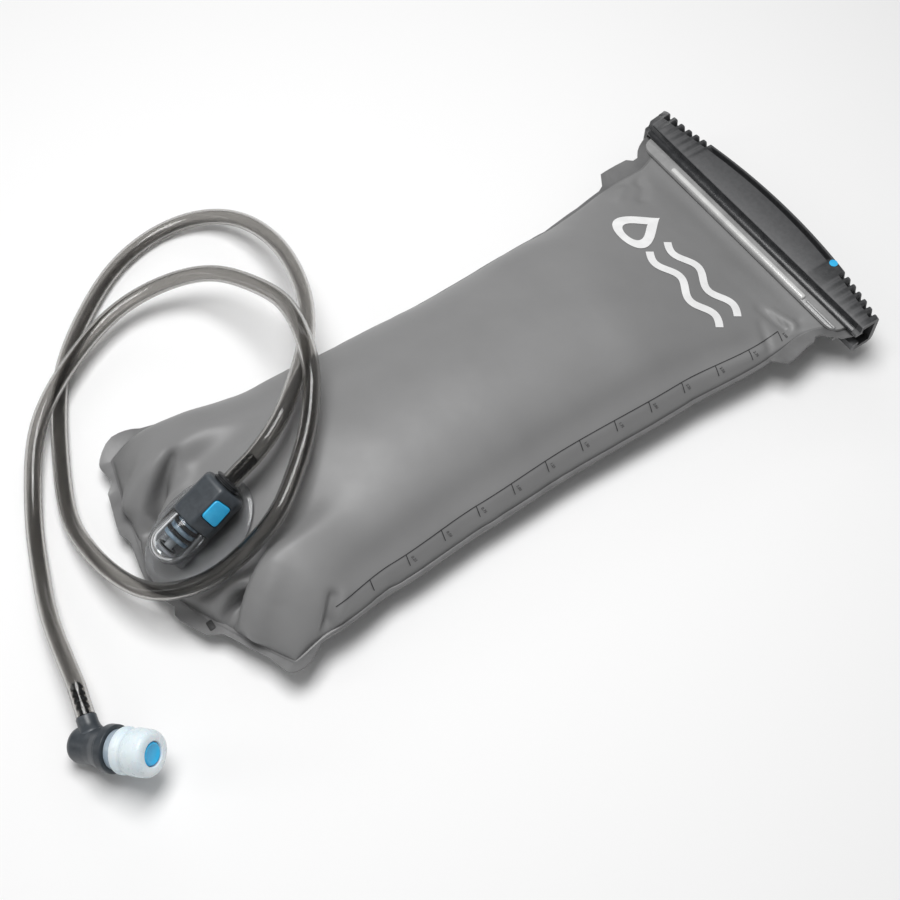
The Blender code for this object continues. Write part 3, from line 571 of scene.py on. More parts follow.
def bag_grid():
    """The closed bag's points, faces and grid places; both sheets share their seam points."""
    index = {}
    points = []
    places = []
    for side in (1, -1):
        for i in range(BAG_ROWS + 1):
            for j in range(BAG_COLUMNS + 1):
                row = (i / BAG_ROWS) ** ROW_CROWDING
                column = 2.0 * j / BAG_COLUMNS - 1.0
                seam = i == 0 or j in (0, BAG_COLUMNS)
                if seam and side < 0:
                    index[side, i, j] = index[1, i, j]
                    continue
                index[side, i, j] = len(points)
                points.append(film_point(row, column, side))
                places.append((side, i, j))
    faces = []
    for side in (1, -1):
        for i in range(BAG_ROWS):
            for j in range(BAG_COLUMNS):
                loop = (index[side, i, j], index[side, i + 1, j], index[side, i + 1, j + 1],
                        index[side, i, j + 1])
                faces.append(loop[::side])
    for j in range(BAG_COLUMNS):
        front = (index[1, BAG_ROWS, j], index[1, BAG_ROWS, j + 1])
        back = (index[-1, BAG_ROWS, j], index[-1, BAG_ROWS, j + 1])
        faces.append(tuple(dict.fromkeys((front[0], back[0], back[1], front[1]))))
    return points, faces, places, index


def flat_pattern(places):
    """Where each point lies on the two flat sheets that the bag is welded from."""
    along = [0.0]
    middle = [film_point((i / BAG_ROWS) ** ROW_CROWDING, 0.0, 1) for i in range(BAG_ROWS + 1)]
    for a, b in zip(middle, middle[1:]):
        along.append(along[-1] + (b - a).length)
    return [Vector((along[i], FLAT_WIDTH * (j / BAG_COLUMNS - 0.5), 0.0)) for _, i, j in places]


def settle(bag, places):
    """Fills the bag by cloth simulation, from its rough shape and its flat pattern."""
    bag.shape_key_add(name="Basis")
    flat = bag.shape_key_add(name="flat")
    for target, point in zip(flat.data, flat_pattern(places)):
        target.co = point
    flat.value = 0.0
    held = bag.vertex_groups.new(name="held")
    for vertex, (side, _, _) in zip(bag.data.vertices, places):
        if vertex.co.x > MOUTH_FLAT_X - 0.001 or (side > 0 and on_plate(vertex.co)):
            held.add([vertex.index], 1.0, "REPLACE")

    ground = link("ground", bpy.data.meshes.new("ground"))
    ground.data.from_pydata([(-1, -1, 0), (1, -1, 0), (1, 1, 0), (-1, 1, 0)], [], [(0, 1, 2, 3)])
    ground.modifiers.new("Collision", "COLLISION")
    ground.collision.thickness_outer = FLOOR_GAP

    cloth = bag.modifiers.new("Cloth", "CLOTH")
    cloth.settings.rest_shape_key = flat
    cloth.settings.vertex_group_mass = "held"
    for setting, value in CLOTH.items():
        setattr(cloth.settings, setting, value)
    cloth.settings.target_volume = volume_of(bag) * FILLED
    cloth.collision_settings.distance_min = FLOOR_GAP
    cloth.collision_settings.use_self_collision = False

    scene = bpy.context.scene
    cloth.point_cache.frame_end = CLOTH_FRAMES
    scene.frame_set(1)
    for number in range(1, CLOTH_FRAMES + 1):
        scene.frame_set(number)
    graph = bpy.context.evaluated_depsgraph_get()
    result = bag.evaluated_get(graph).to_mesh()
    moved = [vertex.co.copy() for vertex in result.vertices]
    bag.evaluated_get(graph).to_mesh_clear()
    scene.frame_set(1)
    bag.modifiers.remove(cloth)
    bag.shape_key_clear()
    bpy.data.objects.remove(ground, do_unlink=True)
    return moved


def volume_of(bag):
    shape = bmesh.new()
    shape.from_mesh(bag.data)
    volume = shape.calc_volume()
    shape.free()
    return abs(volume)


def soften(moves, index):
    """Smooths the simulated moves along the middle of the bag, where the film lies calm."""
    result = list(moves)
    for side in (1, -1):
        grid = np.array([[moves[index[side, i, j]] for j in range(BAG_COLUMNS + 1)]
                         for i in range(BAG_ROWS + 1)])
        smooth = grid.copy()
        for _ in range(SOFT_PASSES):
            inner = smooth[1:-1, 1:-1]
            around = smooth[:-2, 1:-1] + smooth[2:, 1:-1] + smooth[1:-1, :-2] + smooth[1:-1, 2:]
            smooth[1:-1, 1:-1] = (inner + around / 4.0) / 2.0
        for i in range(1, BAG_ROWS):
            row = i / BAG_ROWS
            ends = max(smoothstep((CALM_FROM - row) / CALM_BLEND),
                       smoothstep((row - CALM_TO) / CALM_BLEND) * 0.6)
            for j in range(1, BAG_COLUMNS):
                mixed = smooth[i, j] + (grid[i, j] - smooth[i, j]) * ends
                result[index[side, i, j]] = Vector(mixed)
    return result


def scale_line(x):
    return -half_width(x) + SCALE_INSET


def fold_depth(x, y):
    """How far the folds draw the front film in at one place."""
    total = 0.0
    for start, end, first, last, width in FOLDS:
        line = Vector(end) - Vector(start)
        offset = Vector((x, y)) - Vector(start)
        along = min(max(offset.dot(line) / line.length_squared, 0.0), 1.0)
        aside = (offset - line * along).length
        total += (first + (last - first) * along) * exp(-(aside / width) ** 2)
    wall = smoothstep((x - SCALE_START) / 0.02) * smoothstep((SCALE_END - x) / 0.02)
    above = y - scale_line(x)
    for depth, place, width in (WALL_HOLLOW, WALL_RIDGE):
        total += depth * exp(-((above - place) / width) ** 2) * wall
    return total


def press_folds(mesh, rim_points):
    """Draws the front film in along its folds, less and less towards the seam."""
    rim = KDTree(len(rim_points))
    for k, point in enumerate(rim_points):
        rim.insert(point, k)
    rim.balance()
    normals = [vertex.normal.copy() for vertex in mesh.vertices]
    for vertex, normal in zip(mesh.vertices, normals):
        if normal.z > 0.0 and not on_plate(vertex.co):
            depth = fold_depth(vertex.co.x, vertex.co.y)
            near = smoothstep(rim.find(vertex.co)[2] / FOLD_FADE)
            vertex.co -= normal * depth * near


def build_bag():
    points, faces, places, index = bag_grid()
    mesh = bpy.data.meshes.new("bag_film")
    mesh.from_pydata([tuple(point) for point in points], [], faces)
    bag = link("bag_film", mesh)
    mesh.shade_smooth()
    moves = [moved - vertex.co for vertex, moved in zip(mesh.vertices, settle(bag, places))]
    for vertex, step in zip(mesh.vertices, soften(moves, index)):
        if step.length > LONGEST_MOVE:
            step *= LONGEST_MOVE / step.length
        vertex.co += step
    fine = bag.modifiers.new("Subdivision", "SUBSURF")
    fine.levels = 1
    fine.render_levels = 1
    rim_points = [mesh.vertices[index[1, i, j]].co.copy()
                  for i in range(BAG_ROWS + 1) for j in range(BAG_COLUMNS + 1)
                  if i == 0 or i == BAG_ROWS or j in (0, BAG_COLUMNS)]
    apply_modifiers(bag)
    press_folds(bag.data, rim_points)
    finish_piece(bag, "bag", "film", "film", "front_film", "back_film")
    return bag, index


def seam_loop(bag, index):
    """The welded seam's points with their outward directions, near mouth to far mouth."""
    ends = [(i, 0) for i in range(BAG_ROWS, 0, -1)]
    ends += [(0, j) for j in range(BAG_COLUMNS + 1)]
    ends += [(i, BAG_COLUMNS) for i in range(1, BAG_ROWS + 1)]
    vertices = bag.data.vertices
    seams = [vertices[index[1, i, j]].co.copy() for i, j in ends]
    ways = []
    for seam, (i, j) in zip(seams, ends):
        inner = (max(i, 2), min(max(j, 2), BAG_COLUMNS - 2))
        middle = (vertices[index[1, *inner]].co + vertices[index[-1, *inner]].co) / 2.0
        ways.append((seam - middle).normalized())
    padded = [ways[0]] * SEAM_SPREAD + ways + [ways[-1]] * SEAM_SPREAD
    smooth = [sum(padded[k:k + 2 * SEAM_SPREAD + 1], Vector()).normalized()
              for k in range(len(ways))]
    return list(zip(seams, smooth))


def bump(value, low, high, edge):
    """1 between two values and 0 outside them, blended over the edge's length."""
    return smoothstep((value - low) / edge) * smoothstep((high - value) / edge)


def flange_width(point):
    """How far the weld flange stands out of the seam: wide at the tabs and the corner ears."""
    width = FLANGE_WIDTH + 0.009 * bump(point.x, 0.148, 0.3, 0.004)
    width -= 0.0035 * bump(point.x, 0.174, 0.186, 0.004)
    width += 0.007 * peak(point, FAR_EAR, 0.015) + 0.003 * peak(point, NEAR_EAR, 0.012)
    tabs = (0.002 + 0.004 * bump(point.y, 0.033, 0.07, 0.003)
            + 0.0055 * bump(point.y, -0.048, -0.02, 0.003))
    return width + tabs * smoothstep((-0.165 - point.x) / 0.02)


def peak(point, place, reach):
    """1 at a place and straight down to 0 at the reach from it."""
    return max(1.0 - hypot(point.x - place[0], point.y - place[1]) / reach, 0.0)


def square_up(way):
    """The direction nearest to straight up that is square to the given one."""
    up = Vector((0.0, 0.0, 1.0))
    return (up - way * up.dot(way)).normalized()


def build_flange(bag, index):
    """The welded edge: a thin strip out of the seam, with one pressed weld line along it."""
    half = FLANGE_HALF
    loop = seam_loop(bag, index)
    sections = []
    for seam, way in loop:
        width = flange_width(seam)
        up = square_up(way)
        upper = [(-0.0012, half), (0.0006, half), (0.0011, half * 0.3), (0.0016, half),
                 (width - 0.0009, half), (width - 0.0003, half * 1.5)]
        points = []
        for out, lift in [*upper, (width, 0.0), *((out, -lift) for out, lift in upper[::-1])]:
            point = seam + way * out + up * lift
            point.z = max(point.z, 0.0003 + lift + half)
            points.append(point)
        sections.append(points)
    # The flange takes the darker seam grey: painted shade over the film's own colour.
    finish_piece(loft("weld_flange", sections, Matrix(), 50.0), "bag", "film", "seam")

    # A thin near-black patch on the flange where the hanging slot is: painted shade for the dark
    # opening, not a cut hole.
    seam, way = min(loop, key=lambda entry: (entry[0] - TAB_SLOT).length)
    up = square_up(way)
    layers = [(lift, rectangle(0.0016, 0.0052, -0.0028, 0.0028, grow, 0.001))
              for lift, grow in ((0.0002, 0.0), (0.0008, 0.0), (0.001, -0.0003))]
    place = Matrix.Translation(seam) @ Matrix((way, up.cross(way), up)).transposed().to_4x4()
    finish_piece(stack("tab_slot_shade", layers, place), "bag", "film", "rubber")


BAG, BAG_INDEX = build_bag()
build_flange(BAG, BAG_INDEX)


# ---------------- print on the film

bpy.context.view_layer.update()
FILM_TREE = BVHTree.FromObject(BAG, bpy.context.evaluated_depsgraph_get())


def onto_film(x, y, lift=0.00035):
    """The film's point met along the print's slant from (x, y) at the print's level."""
    origin = Vector((x, y, PRINT_LEVEL)) - PRINT_SLANT * 0.2
    place, normal = FILM_TREE.ray_cast(origin, PRINT_SLANT)[:2]
    if normal.dot(PRINT_SLANT) > 0.0:
        normal = -normal
    return place + normal * lift


class Print:
    """Thin ink shapes gathered into one mesh that lies on the film."""

    def __init__(self):
        self.vertices = []
        self.faces = []

    def band(self, left, right, across=2, closed=False):
        """Fills between two rows of plan points of equal length."""
        start = len(self.vertices)
        for a, b in zip(left, right):
            for k in range(across + 1):
                share = k / across
                self.vertices.append(onto_film(a[0] + (b[0] - a[0]) * share,
                                               a[1] + (b[1] - a[1]) * share))
        faces = grid_faces(len(left), across + 1, closed, False, start)
        self.faces += [(a, d, c, b) for a, b, c, d in faces]

    def stroke(self, points, width):
        left = []
        right = []
        for k, point in enumerate(points):
            before = Vector(points[max(k - 1, 0)])
            after = Vector(points[min(k + 1, len(points) - 1)])
            side = (after - before).normalized().orthogonal() * width / 2.0
            left.append(tuple(Vector(point) + side))
            right.append(tuple(Vector(point) - side))
        self.band(left, right)

    def label(self, text, size, x, y):
        """Small figures that read down towards the seam."""
        letters = bpy.data.curves.new("label", "FONT")
        letters.body = text
        letters.size = size
        letters.resolution_u = 2
        letters.align_y = "CENTER"
        holder = link("label", letters)
        graph = bpy.context.evaluated_depsgraph_get()
        shape = bpy.data.meshes.new_from_object(holder.evaluated_get(graph))
        start = len(self.vertices)
        for vertex in shape.vertices:
            self.vertices.append(onto_film(x + vertex.co.y, y - vertex.co.x))
        for polygon in shape.polygons:
            self.faces.append(tuple(start + k for k in polygon.vertices))
        bpy.data.objects.remove(holder, do_unlink=True)

    def finish(self, name, material):
        mesh = bpy.data.meshes.new(name)
        mesh.from_pydata([tuple(v) for v in self.vertices], [], self.faces)
        mesh.validate()
        mesh.shade_smooth()
        finish_piece(link(name, mesh), "bag", "film", material)


def build_scale():
    """The printed volume scale along the near side: a line, ticks and plain figures."""
    ink = Print()
    ink.stroke([(x, scale_line(x)) for x in spaced(SCALE_START, SCALE_END, 160)], INK_WIDTH)
    for k, x in enumerate(spaced(FIRST_TICK, SCALE_END, TICKS - 1)):
        y = scale_line(x)
        ink.stroke([(x - 0.0003 * step, y - 0.001 * step) for step in range(8)], INK_WIDTH)
        if k:
            ink.label(f"{k * 0.25:.2f}", 0.0024, x + 0.002, y - 0.0026)
    ink.finish("volume_scale", "print")


def build_mark():
    """A plain white mark of a drop and two waves."""
    ink = Print()
    centre = Vector((0.139, 0.033))
    ways = [Vector((cos(turn), 1.25 * sin(turn) * sin(turn / 2.0) ** 1.6))
            for turn in spaced(0.0, 2.0 * pi, 96)[:-1]]
    outer = [tuple(centre + way * 0.0165) for way in ways]
    inner = [tuple(centre + way * 0.0088 - Vector((0.0026, 0.0))) for way in ways]
    ink.band(outer, inner, 3, closed=True)
    for place in (0.1455, 0.1305):
        ink.stroke([(place + WAVE_HEIGHT * sin(along * 2.0 * pi / WAVE_LENGTH), 0.015 + along)
                    for along in spaced(0.0, -2.0 * WAVE_LENGTH, 80)], 0.005)
    ink.finish("wave_mark", "mark")


build_scale()
build_mark()


# ---------------- hose

def hose_path():
    """The hose's centre line with its bends relaxed, held straight over both barbs."""
    straight = (HOSE_START, 0.01, 0.02)
    start = [PLUG @ Vector((0.0, 0.0, s)) for s in straight]
    end = [STUB @ Vector((0.0, 0.0, STUB_LENGTH + s)) for s in reversed(straight)]
    middle = [Vector(point) for point in HOSE_ROUTE]
    route = smooth_route([*start, *middle, *end], ROUTE_SPACING)
    held = STRAIGHT_POINTS
    for _ in range(RELAX_PASSES):
        relaxed = [(a + b * 2.0 + c) / 4.0 for a, b, c in zip(route, route[1:], route[2:])]
        route = [*route[:held], *relaxed[held - 1:len(relaxed) - held + 1], *route[-held:]]
    length = sum((b - a).length for a, b in zip(route, route[1:]))
    return route, length


def build_hose():
    """A hollow hose: an outer and an inner skin around the route, joined at both ends."""
    route, length = hose_path()
    sides = HOSE_SIDES
    tangents = [(after - before).normalized()
                for before, after in zip([route[0], *route], [*route[1:], route[-1]])]
    normal = tangents[0].orthogonal().normalized()
    rings = []
    for point, tangent in zip(route, tangents):
        normal = (normal - tangent * normal.dot(tangent)).normalized()
        rings.append((point, normal, tangent.cross(normal)))
    vertices = []
    for radius in (HOSE_RADIUS, HOSE_BORE):
        for point, normal, side in rings:
            for k in range(sides):
                turn = 2.0 * pi * k / sides
                vertices.append(point + radius * (normal * cos(turn) + side * sin(turn)))
    skin = len(route) * sides
    faces = grid_faces(len(route), sides)
    faces += [(a, d, c, b) for a, b, c, d in grid_faces(len(route), sides, start=skin)]
    for first in (0, skin - sides):
        for k in range(sides):
            a = first + k
            b = first + (k + 1) % sides
            faces.append((a, skin + a, skin + b, b))
    hose = mesh_piece("hose", vertices, faces)
    finish_piece(hose, "drink_line", "tube", "hose", "drink_tube")
    return hose, route, length


HOSE, HOSE_POINTS, HOSE_LENGTH = build_hose()


# ---------------- port and plug

def dome(radius, rise, foot):
    """A dome's outline from its crown down to its foot."""
    return [(radius * sin(turn), foot - rise * cos(turn))
            for turn in spaced(0.0, pi / 2.0, 16)]


def build_port():
    """The welded oval plate with its raised rim, and the clear socket barrel on it."""
    length, width = PLATE_SIZE
    profile = [
        (0.0, AXIS_HEIGHT + PLATE_THICKNESS), (0.5, AXIS_HEIGHT + PLATE_THICKNESS),
        (0.5, AXIS_HEIGHT + 0.0012), (0.47, AXIS_HEIGHT + 0.0009), (0.458, AXIS_HEIGHT + 0.0002),
        (0.436, AXIS_HEIGHT + 0.0002), (0.424, AXIS_HEIGHT + 0.001), (0.0, AXIS_HEIGHT + 0.001),
    ]
    oval = Matrix(((0, 0, 1, 0), (0, width, 0, 0), (length, 0, 0, PLATE_CENTRE), (0, 0, 0, 1)))
    plate = turned("port_plate", profile, PLUG @ oval, 96)
    finish_piece(plate, "bag", "clear", "clear_plate", "port_body")

    profile = [
        *dome(0.012, 0.012, -0.045), (0.012, -0.0312), (0.0117, -0.0306), (0.0092, -0.0306),
        (0.0088, -0.031), *reversed(dome(0.0088, 0.0085, -0.0455)),
    ]
    finish_piece(turned("port_barrel", profile, PLUG), "bag", "clear", "clear")

    layers = []
    for height, grow in ((0.0105, 0.0), (0.012, 0.0003), (AXIS_HEIGHT + 0.0008, 0.0016)):
        outline = rectangle(-0.007, 0.007, -0.053, -0.032, grow, 0.003)
        layers.append([(height, y, z) for y, z in outline])
    finish_piece(loft("port_foot", layers, PLUG), "bag", "clear", "clear_plate")


def housing_outline(scale=1.0):
    """The plug housing's eight-sided section: local X down, local Y across."""
    return [(x * scale, y * scale) for x, y in (
        (0.0115, -0.009), (0.004, -0.0135), (-0.001, -0.0135), (-0.012, -0.007),
        (-0.012, 0.007), (-0.001, 0.0135), (0.004, 0.0135), (0.0115, 0.009))]


def button_matrix():
    """The release button's frame: X along the plug, Z out of the slanted side."""
    low, high = (Vector(corner) for corner in housing_outline()[2:4])
    slant = (high - low).normalized()
    outward = Vector((-slant.y, slant.x, 0.0))
    along = Vector((0.0, 0.0, 1.0))
    across = outward.cross(along)
    turn = Matrix((along, across, outward)).transposed().to_4x4()
    return PLUG @ Matrix.Translation((0.0, 0.0, BUTTON_CENTRE)) @ turn


def build_plug():
    ends = ((HOUSING_FRONT, 0.955), (HOUSING_FRONT + 0.0005, 0.985), (HOUSING_FRONT + 0.0012, 1.0),
            (-0.0075, 1.0), (-0.0058, 0.985), (-0.0047, 0.93), (HOUSING_REAR, 0.84))
    layers = [(height, rounded(housing_outline(scale), 0.0014)) for height, scale in ends]
    housing = stack("plug_shell", layers, PLUG, 50.0)
    frame_of_button = button_matrix()
    hollow = [(depth, button_outline(0.0005)) for depth in BUTTON_RECESS]
    cutter = stack("button_hollow", hollow, frame_of_button)
    cut = housing.modifiers.new("Cut", "BOOLEAN")
    cut.operation = "DIFFERENCE"
    cut.solver = "EXACT"
    cut.object = cutter
    apply_modifiers(housing)
    bpy.data.objects.remove(cutter, do_unlink=True)
    housing.data.shade_smooth()
    housing.data.set_sharp_from_angle(angle=radians(35.0))
    finish_piece(housing, "drink_line", "slate", "slate", "plug_housing")

    layers = [(depth, button_outline(-shrink)) for depth, shrink in (
        (0.0095, 0.0), (0.0124, 0.0), (0.0128, 0.0003), (0.01295, 0.0011))]
    button = stack("button_cap", layers, frame_of_button, 35.0)
    finish_piece(button, "button", "blue", "blue", "release_button")

    grooves = []
    for place in (-0.034, -0.039):
        grooves += [(0.0076, place + 0.0014), (0.006, place + 0.0014),
                    (0.006, place - 0.0014), (0.0076, place - 0.0014)]
    profile = rounded([
        (0.0019, HOUSING_FRONT + 0.0058), (0.005, HOUSING_FRONT + 0.0058),
        (0.005, HOUSING_FRONT - 0.0003), (0.0076, HOUSING_FRONT - 0.0003), *grooves,
        (0.0076, -0.0425), (0.0019, -0.0425),
    ], 0.0003, 3)
    spigot = turned("spigot", profile, PLUG, 64, closed=True)
    finish_piece(spigot, "drink_line", "slate", "spigot", "plug_spigot")

    profile = [
        (0.0019, BARB_LENGTH), *barb_outline(0.0), (0.0046, 0.0002), (0.006, 0.0),
        (0.0076, -0.0002), (0.008, -0.0006), (0.008, -0.0012), (0.0073, -0.0017), (0.0073, -0.0021),
        (0.008, -0.0026), (0.008, -0.0032), (0.0076, -0.0037), (0.0041, -0.0037), (0.0041, -0.0095),
        (0.0019, -0.0095),
    ]
    barb = turned("neck_barb", profile, PLUG, 64, closed=True)
    finish_piece(barb, "drink_line", "slate", "dark", "hose_barb")


def button_outline(grow):
    """The button seen from outside: one rounded end, one slanted end."""
    return rounded([(-0.0065 - grow, -0.0055 - grow), (0.0065 + grow, -0.005 - grow),
                    (0.0058 + grow, 0.0055 + grow), (-0.006 - grow, 0.0055 + grow)],
                   0.0022, 5)


def barb_outline(foot):
    """The outside of a hose barb, tip first, with four sharp ridges."""
    points = [(0.0024, foot + BARB_LENGTH)]
    pitch = (BARB_LENGTH - 0.004) / 4.0
    for k in range(4):
        top = foot + BARB_LENGTH - 0.0004 - k * pitch
        points += [(0.0025, top), (0.0035, top - 0.0018), (0.0035, top - 0.0027),
                   (0.0025, top - 0.0029)]
    points.append((0.0025, foot + 0.0003))
    return points


build_port()
build_plug()


# ---------------- bite valve

def build_valve():
    profile = rounded([
        (0.0, 0.0), (0.0058, 0.0), (0.0086, 0.0012), (0.0095, 0.0034), (0.0095, 0.012),
        (0.0101, 0.0165), (0.0116, 0.021), (0.0117, 0.0219), (0.0125, 0.0223), (0.0125, 0.0267),
        (0.0121, 0.027), (0.0088, 0.027), (0.0088, 0.0266), (0.0084, 0.0266), (0.0084, 0.0146),
        (0.0, 0.0146),
    ], 0.0007, closed=False)
    elbow = turned("elbow_barrel", profile, VALVE)
    finish_piece(elbow, "drink_line", "slate", "slate", "valve_elbow")

    foot = STUB_LENGTH
    profile = [
        (0.0019, foot + BARB_LENGTH), *barb_outline(foot), (0.0051, foot), (0.0054, foot - 0.0003),
        (0.0055, 0.012), (0.0059, 0.01), (0.0066, 0.0085), (0.007, 0.0075), (0.007, 0.002),
        (0.0019, 0.002),
    ]
    stub = turned("elbow_barb", profile, STUB, 56, closed=True)
    finish_piece(stub, "drink_line", "slate", "slate")

    profile = rounded([
        (0.0019, 0.042), (0.0075, 0.042), (0.0075, 0.0315), (0.0104, 0.0313), (0.0106, 0.03),
        (0.0104, 0.0273), (0.008, 0.0273), (0.008, 0.0211), (0.0064, 0.0211), (0.0064, 0.0189),
        (0.008, 0.0189), (0.008, 0.015), (0.0019, 0.015),
    ], 0.0004, 3)
    stem = turned("clear_stem", profile, VALVE, closed=True)
    finish_piece(stem, "mouthpiece", "stem", "stem", "bite_stem")

    profile = rounded([
        (0.0066, 0.0515), (0.0096, 0.0515), (0.0112, 0.0506), (0.012, 0.0488), (0.0122, 0.046),
        (0.0122, 0.0405), (0.0117, 0.0388), (0.0107, 0.0378), (0.0107, 0.0362), (0.0118, 0.0352),
        (0.0122, 0.0342), (0.0122, 0.0326), (0.0116, 0.0318), (0.0078, 0.0318), (0.0078, 0.0423),
        (0.0064, 0.0423), (0.0064, 0.0505),
    ], 0.0008)
    cap = turned("mouth_cap", profile, VALVE, closed=True)
    finish_piece(cap, "mouthpiece", "silicone", "silicone", "bite_cap")

    profile = rounded([
        (0.0, 0.0499), (0.0036, 0.0503), (0.0052, 0.0512), (0.0061, 0.0503), (0.0061, 0.045),
        (0.003, 0.044), (0.003, 0.0424), (0.0, 0.0424),
    ], 0.0005, closed=False)
    core = turned("mouth_core", profile, VALVE, 56)
    finish_piece(core, "mouthpiece", "blue", "blue", "bite_core")
    return [elbow, stub, stem, cap, core]


VALVE_PIECES = build_valve()


# ---------------- closure

def slider_tip(y):
    """How far out the slide closure's bowed outer side lies."""
    return SLIDER_TIP_X + SLIDER_BOW * (1.0 - (y / SLIDER_HALF_LENGTH) ** 2)


def slider_section(y):
    """The slide closure's section at one place along it, as (x, z) points."""
    tip = slider_tip(y)
    top = SLIDER_TOP
    knob = 0.0
    knobs_from = SLIDER_HALF_LENGTH - 0.0385
    along = (abs(y) - knobs_from) / 0.006
    if 0.0 < along < 6.0:
        knob = (0.5 - 0.5 * cos(2.0 * pi * along)) ** 2.2
    groove = bump(y, -0.052, 0.062, 0.006)
    lift = 0.003 * smoothstep((y - 0.08) / 0.018)
    lip = SLIDER_INNER_X
    ridge = tip - RIDGE_BACK
    return [
        (CHANNEL_START, -SLOT_HALF), (lip, -SLOT_HALF), (lip, -0.0085), (lip + 0.003, -top + 0.0006),
        (lip + 0.0042, -top), (tip - 0.003, -top), (tip - 0.0008, -top + 0.0012),
        (tip, -top + 0.004),
        (tip - 0.0012 * knob, 0.0), (tip - 0.0016 * knob, top - 0.004),
        (tip - 0.0004 - 0.0018 * knob, top - 0.0014 - 0.0022 * knob + lift),
        (tip - 0.0014 - 0.0016 * knob, top - 0.0002 - 0.0038 * knob + lift),
        (ridge + 0.0034, top - 0.0058 * knob + lift * 0.8),
        (ridge + 0.003, top - GROOVE_DEPTH * groove - 0.0058 * knob + lift * 0.7),
        (ridge + 0.0004, top - GROOVE_DEPTH * groove - 0.005 * knob + lift * 0.6),
        (ridge - 0.0002, top + lift * 0.4),
        (lip + 0.0046, top), (lip + 0.0038, top - 0.0005), (lip + 0.0034, top - 0.0032),
        (lip + 0.0028, top - 0.0042), (lip + 0.0006, top - 0.0046), (lip, top - 0.0052),
        (lip, SLOT_HALF), (CHANNEL_START, SLOT_HALF), (CHANNEL_START, CHANNEL_HALF),
        (CHANNEL_END, CHANNEL_HALF), (CHANNEL_END, -CHANNEL_HALF),
        (CHANNEL_START, -CHANNEL_HALF),
    ]


def build_closure():
    last = SLIDER_HALF_LENGTH - SLIDER_WALL
    sections = [[(x, y, SEAM_Z + z) for x, z in slider_section(y)]
                for y in spaced(-SLIDER_HALF_LENGTH, SLIDER_HALF_LENGTH, 400) if y <= last]
    slider = loft("slide_closure", sections, Matrix(), 38.0)
    finish_piece(slider, "closure", "slider", "slider", "closure_slider")
    end = []
    middle_x = (SLIDER_INNER_X + SLIDER_TIP_X) / 2.0
    for k in range(5):
        y = last + SLIDER_WALL * k / 4.0
        shrink = 0.1 * (k / 4.0) ** 3
        end.append([(x + (middle_x - x) * shrink, y, SEAM_Z + z)
                    for x, z in slider_section(y)[1:23]])
    finish_piece(loft("slide_closure_end", end, Matrix(), 38.0), "closure", "slider", "slider")

    top = SLIDER_TOP
    lip = SLIDER_INNER_X
    # A near-black strip on the slider's inner wall under its lip: painted shade for the shadowed
    # inner face.
    skin = [
        (lip - 0.0003, SLOT_HALF + 0.0006), (lip - 0.0003, top - 0.005),
        (lip + 0.0006, top - 0.0043), (lip + 0.0027, top - 0.0039), (lip + 0.0031, top - 0.003),
        (lip + 0.0034, top - 0.0009), (lip + 0.004, top - 0.0009), (lip + 0.004, top - 0.005),
        (lip + 0.0006, top - 0.006), (lip + 0.0006, SLOT_HALF + 0.0006),
    ]
    reach = SLIDER_HALF_LENGTH - 0.004
    inner_wall_shade = loft("slider_inner_wall_shade", [[(x, y, SEAM_Z + z) for x, z in skin] for y in (-reach, reach)],
                 Matrix(), 30.0)
    finish_piece(inner_wall_shade, "closure", "slider", "dark")

    # A near-black strip laid in the bottom of the groove: painted shade for the groove's shadow.
    groove_shade = []
    for y in spaced(-0.048, 0.058, 60):
        ridge = slider_tip(y) - RIDGE_BACK
        low = SEAM_Z + top - GROOVE_DEPTH
        groove_shade.append([(ridge + 0.0002, y, low - 0.0003), (ridge + 0.0032, y, low - 0.0003),
                      (ridge + 0.0031, y, low + 0.0004), (ridge + 0.0003, y, low + 0.0004)])
    finish_piece(loft("slider_groove_shade", groove_shade, Matrix(), 30.0), "closure", "slider", "dark")

    base = SEAM_Z + 0.0015
    for name, sides, low, high, rounding, material, nodes in (
            ("rail_plate", (0.189, 0.2096, -0.0905, 0.093), 0.0, 0.0022, 0.0008, "rail_plate",
             ["front_rail"]),
            ("rail_strip", (0.1893, 0.1932, -0.061, 0.064), 0.0022, 0.0044, 0.0015, "rail", []),
            ("rail_line", (0.1908, 0.1928, -0.088, -0.0625), 0.0022, 0.0031, 0.0008, "rail_plate",
             [])):
        piece = strip(name, *sides, base + low, base + high, rounding)
        finish_piece(piece, "bag", "rail", material, *nodes)


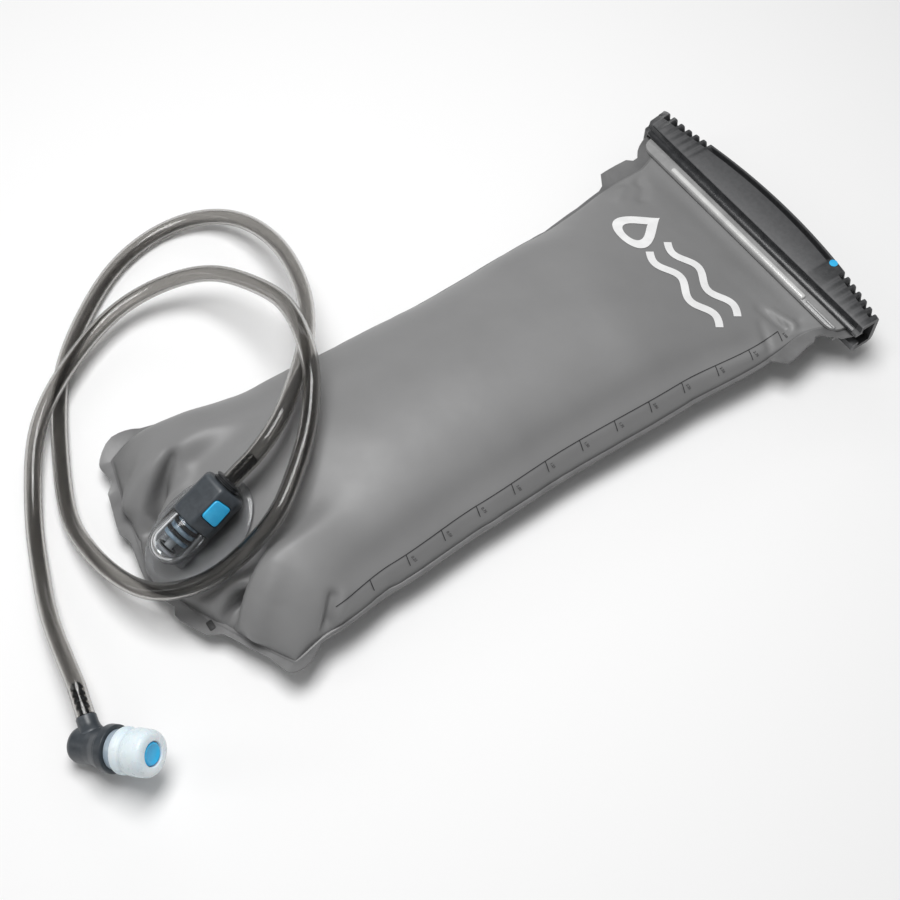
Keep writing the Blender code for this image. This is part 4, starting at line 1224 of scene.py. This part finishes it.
def strip(name, x0, x1, y0, y1, z0, z1, rounding):
    """A long flat strip with rounded ends and softened edges."""
    radius = (x1 - x0) * 0.48
    insets = ((z0, 0.0), (z1 - rounding, 0.0), (z1 - rounding * 0.35, rounding * 0.25),
              (z1, rounding * 0.8))
    layers = [(height, rectangle(x0, x1, y0, y1, -inset, radius - inset * 0.5, 6))
              for height, inset in insets]
    return stack(name, layers, Matrix(), 35.0)


build_closure()


# ---------------- carried-over CAD nodes

CARRIED = {
    "back_rail": "rail_plate",
    "slider_dot": "blue",
    "poppet": "acetal",
    "poppet_seal": "rubber",
    "poppet_spring": "steel",
    "o_ring_front": "rubber",
    "o_ring_rear": "rubber",
    "button_spring": "steel",
    "stem_o_ring": "rubber",
}
for node_name, material_name in CARRIED.items():
    paint(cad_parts[node_name], material_name)


# ---------------- stage, light and camera

def build_stage():
    floor = mesh_piece("floor", [(-6, -6, 0), (6, -6, 0), (6, 6, 0), (-6, 6, 0)], [(0, 1, 2, 3)])
    pale = Material("floor", (0.92, 0.92, 0.92), 0.8)
    floor.data.materials.append(pale.material)


def build_lights():
    world = bpy.data.worlds.new("studio")
    world.use_nodes = True
    background = world.node_tree.nodes["Background"]
    background.inputs["Color"].default_value = (1.0, 1.0, 1.0, 1.0)
    background.inputs["Strength"].default_value = WORLD_STRENGTH
    bpy.context.scene.world = world
    for name, (place, aim, (width, height), power) in LIGHTS.items():
        lamp = bpy.data.lights.new(name, "AREA")
        lamp.shape = "RECTANGLE"
        lamp.size = width
        lamp.size_y = height
        lamp.energy = power
        holder = link(name, lamp)
        holder.location = place
        holder.rotation_euler = (Vector(aim) - Vector(place)).to_track_quat("-Z", "Y").to_euler()


def build_camera():
    turn = (Matrix.Rotation(CAMERA_AZIMUTH, 4, "Z")
            @ Matrix.Rotation(pi / 2.0 - CAMERA_ELEVATION, 4, "X")
            @ Matrix.Rotation(CAMERA_ROLL, 4, "Z"))
    view = bpy.data.cameras.new("camera")
    view.lens = CAMERA_LENS
    view.sensor_width = 36.0
    view.clip_start = 0.01
    camera = link("camera", view)
    camera.matrix_world = (Matrix.Translation(CAMERA_AIM) @ turn
                           @ Matrix.Translation((0.0, 0.0, CAMERA_DISTANCE)))
    bpy.context.scene.camera = camera


bpy.context.scene.view_settings.view_transform = "Standard"
build_stage()
build_lights()
build_camera()
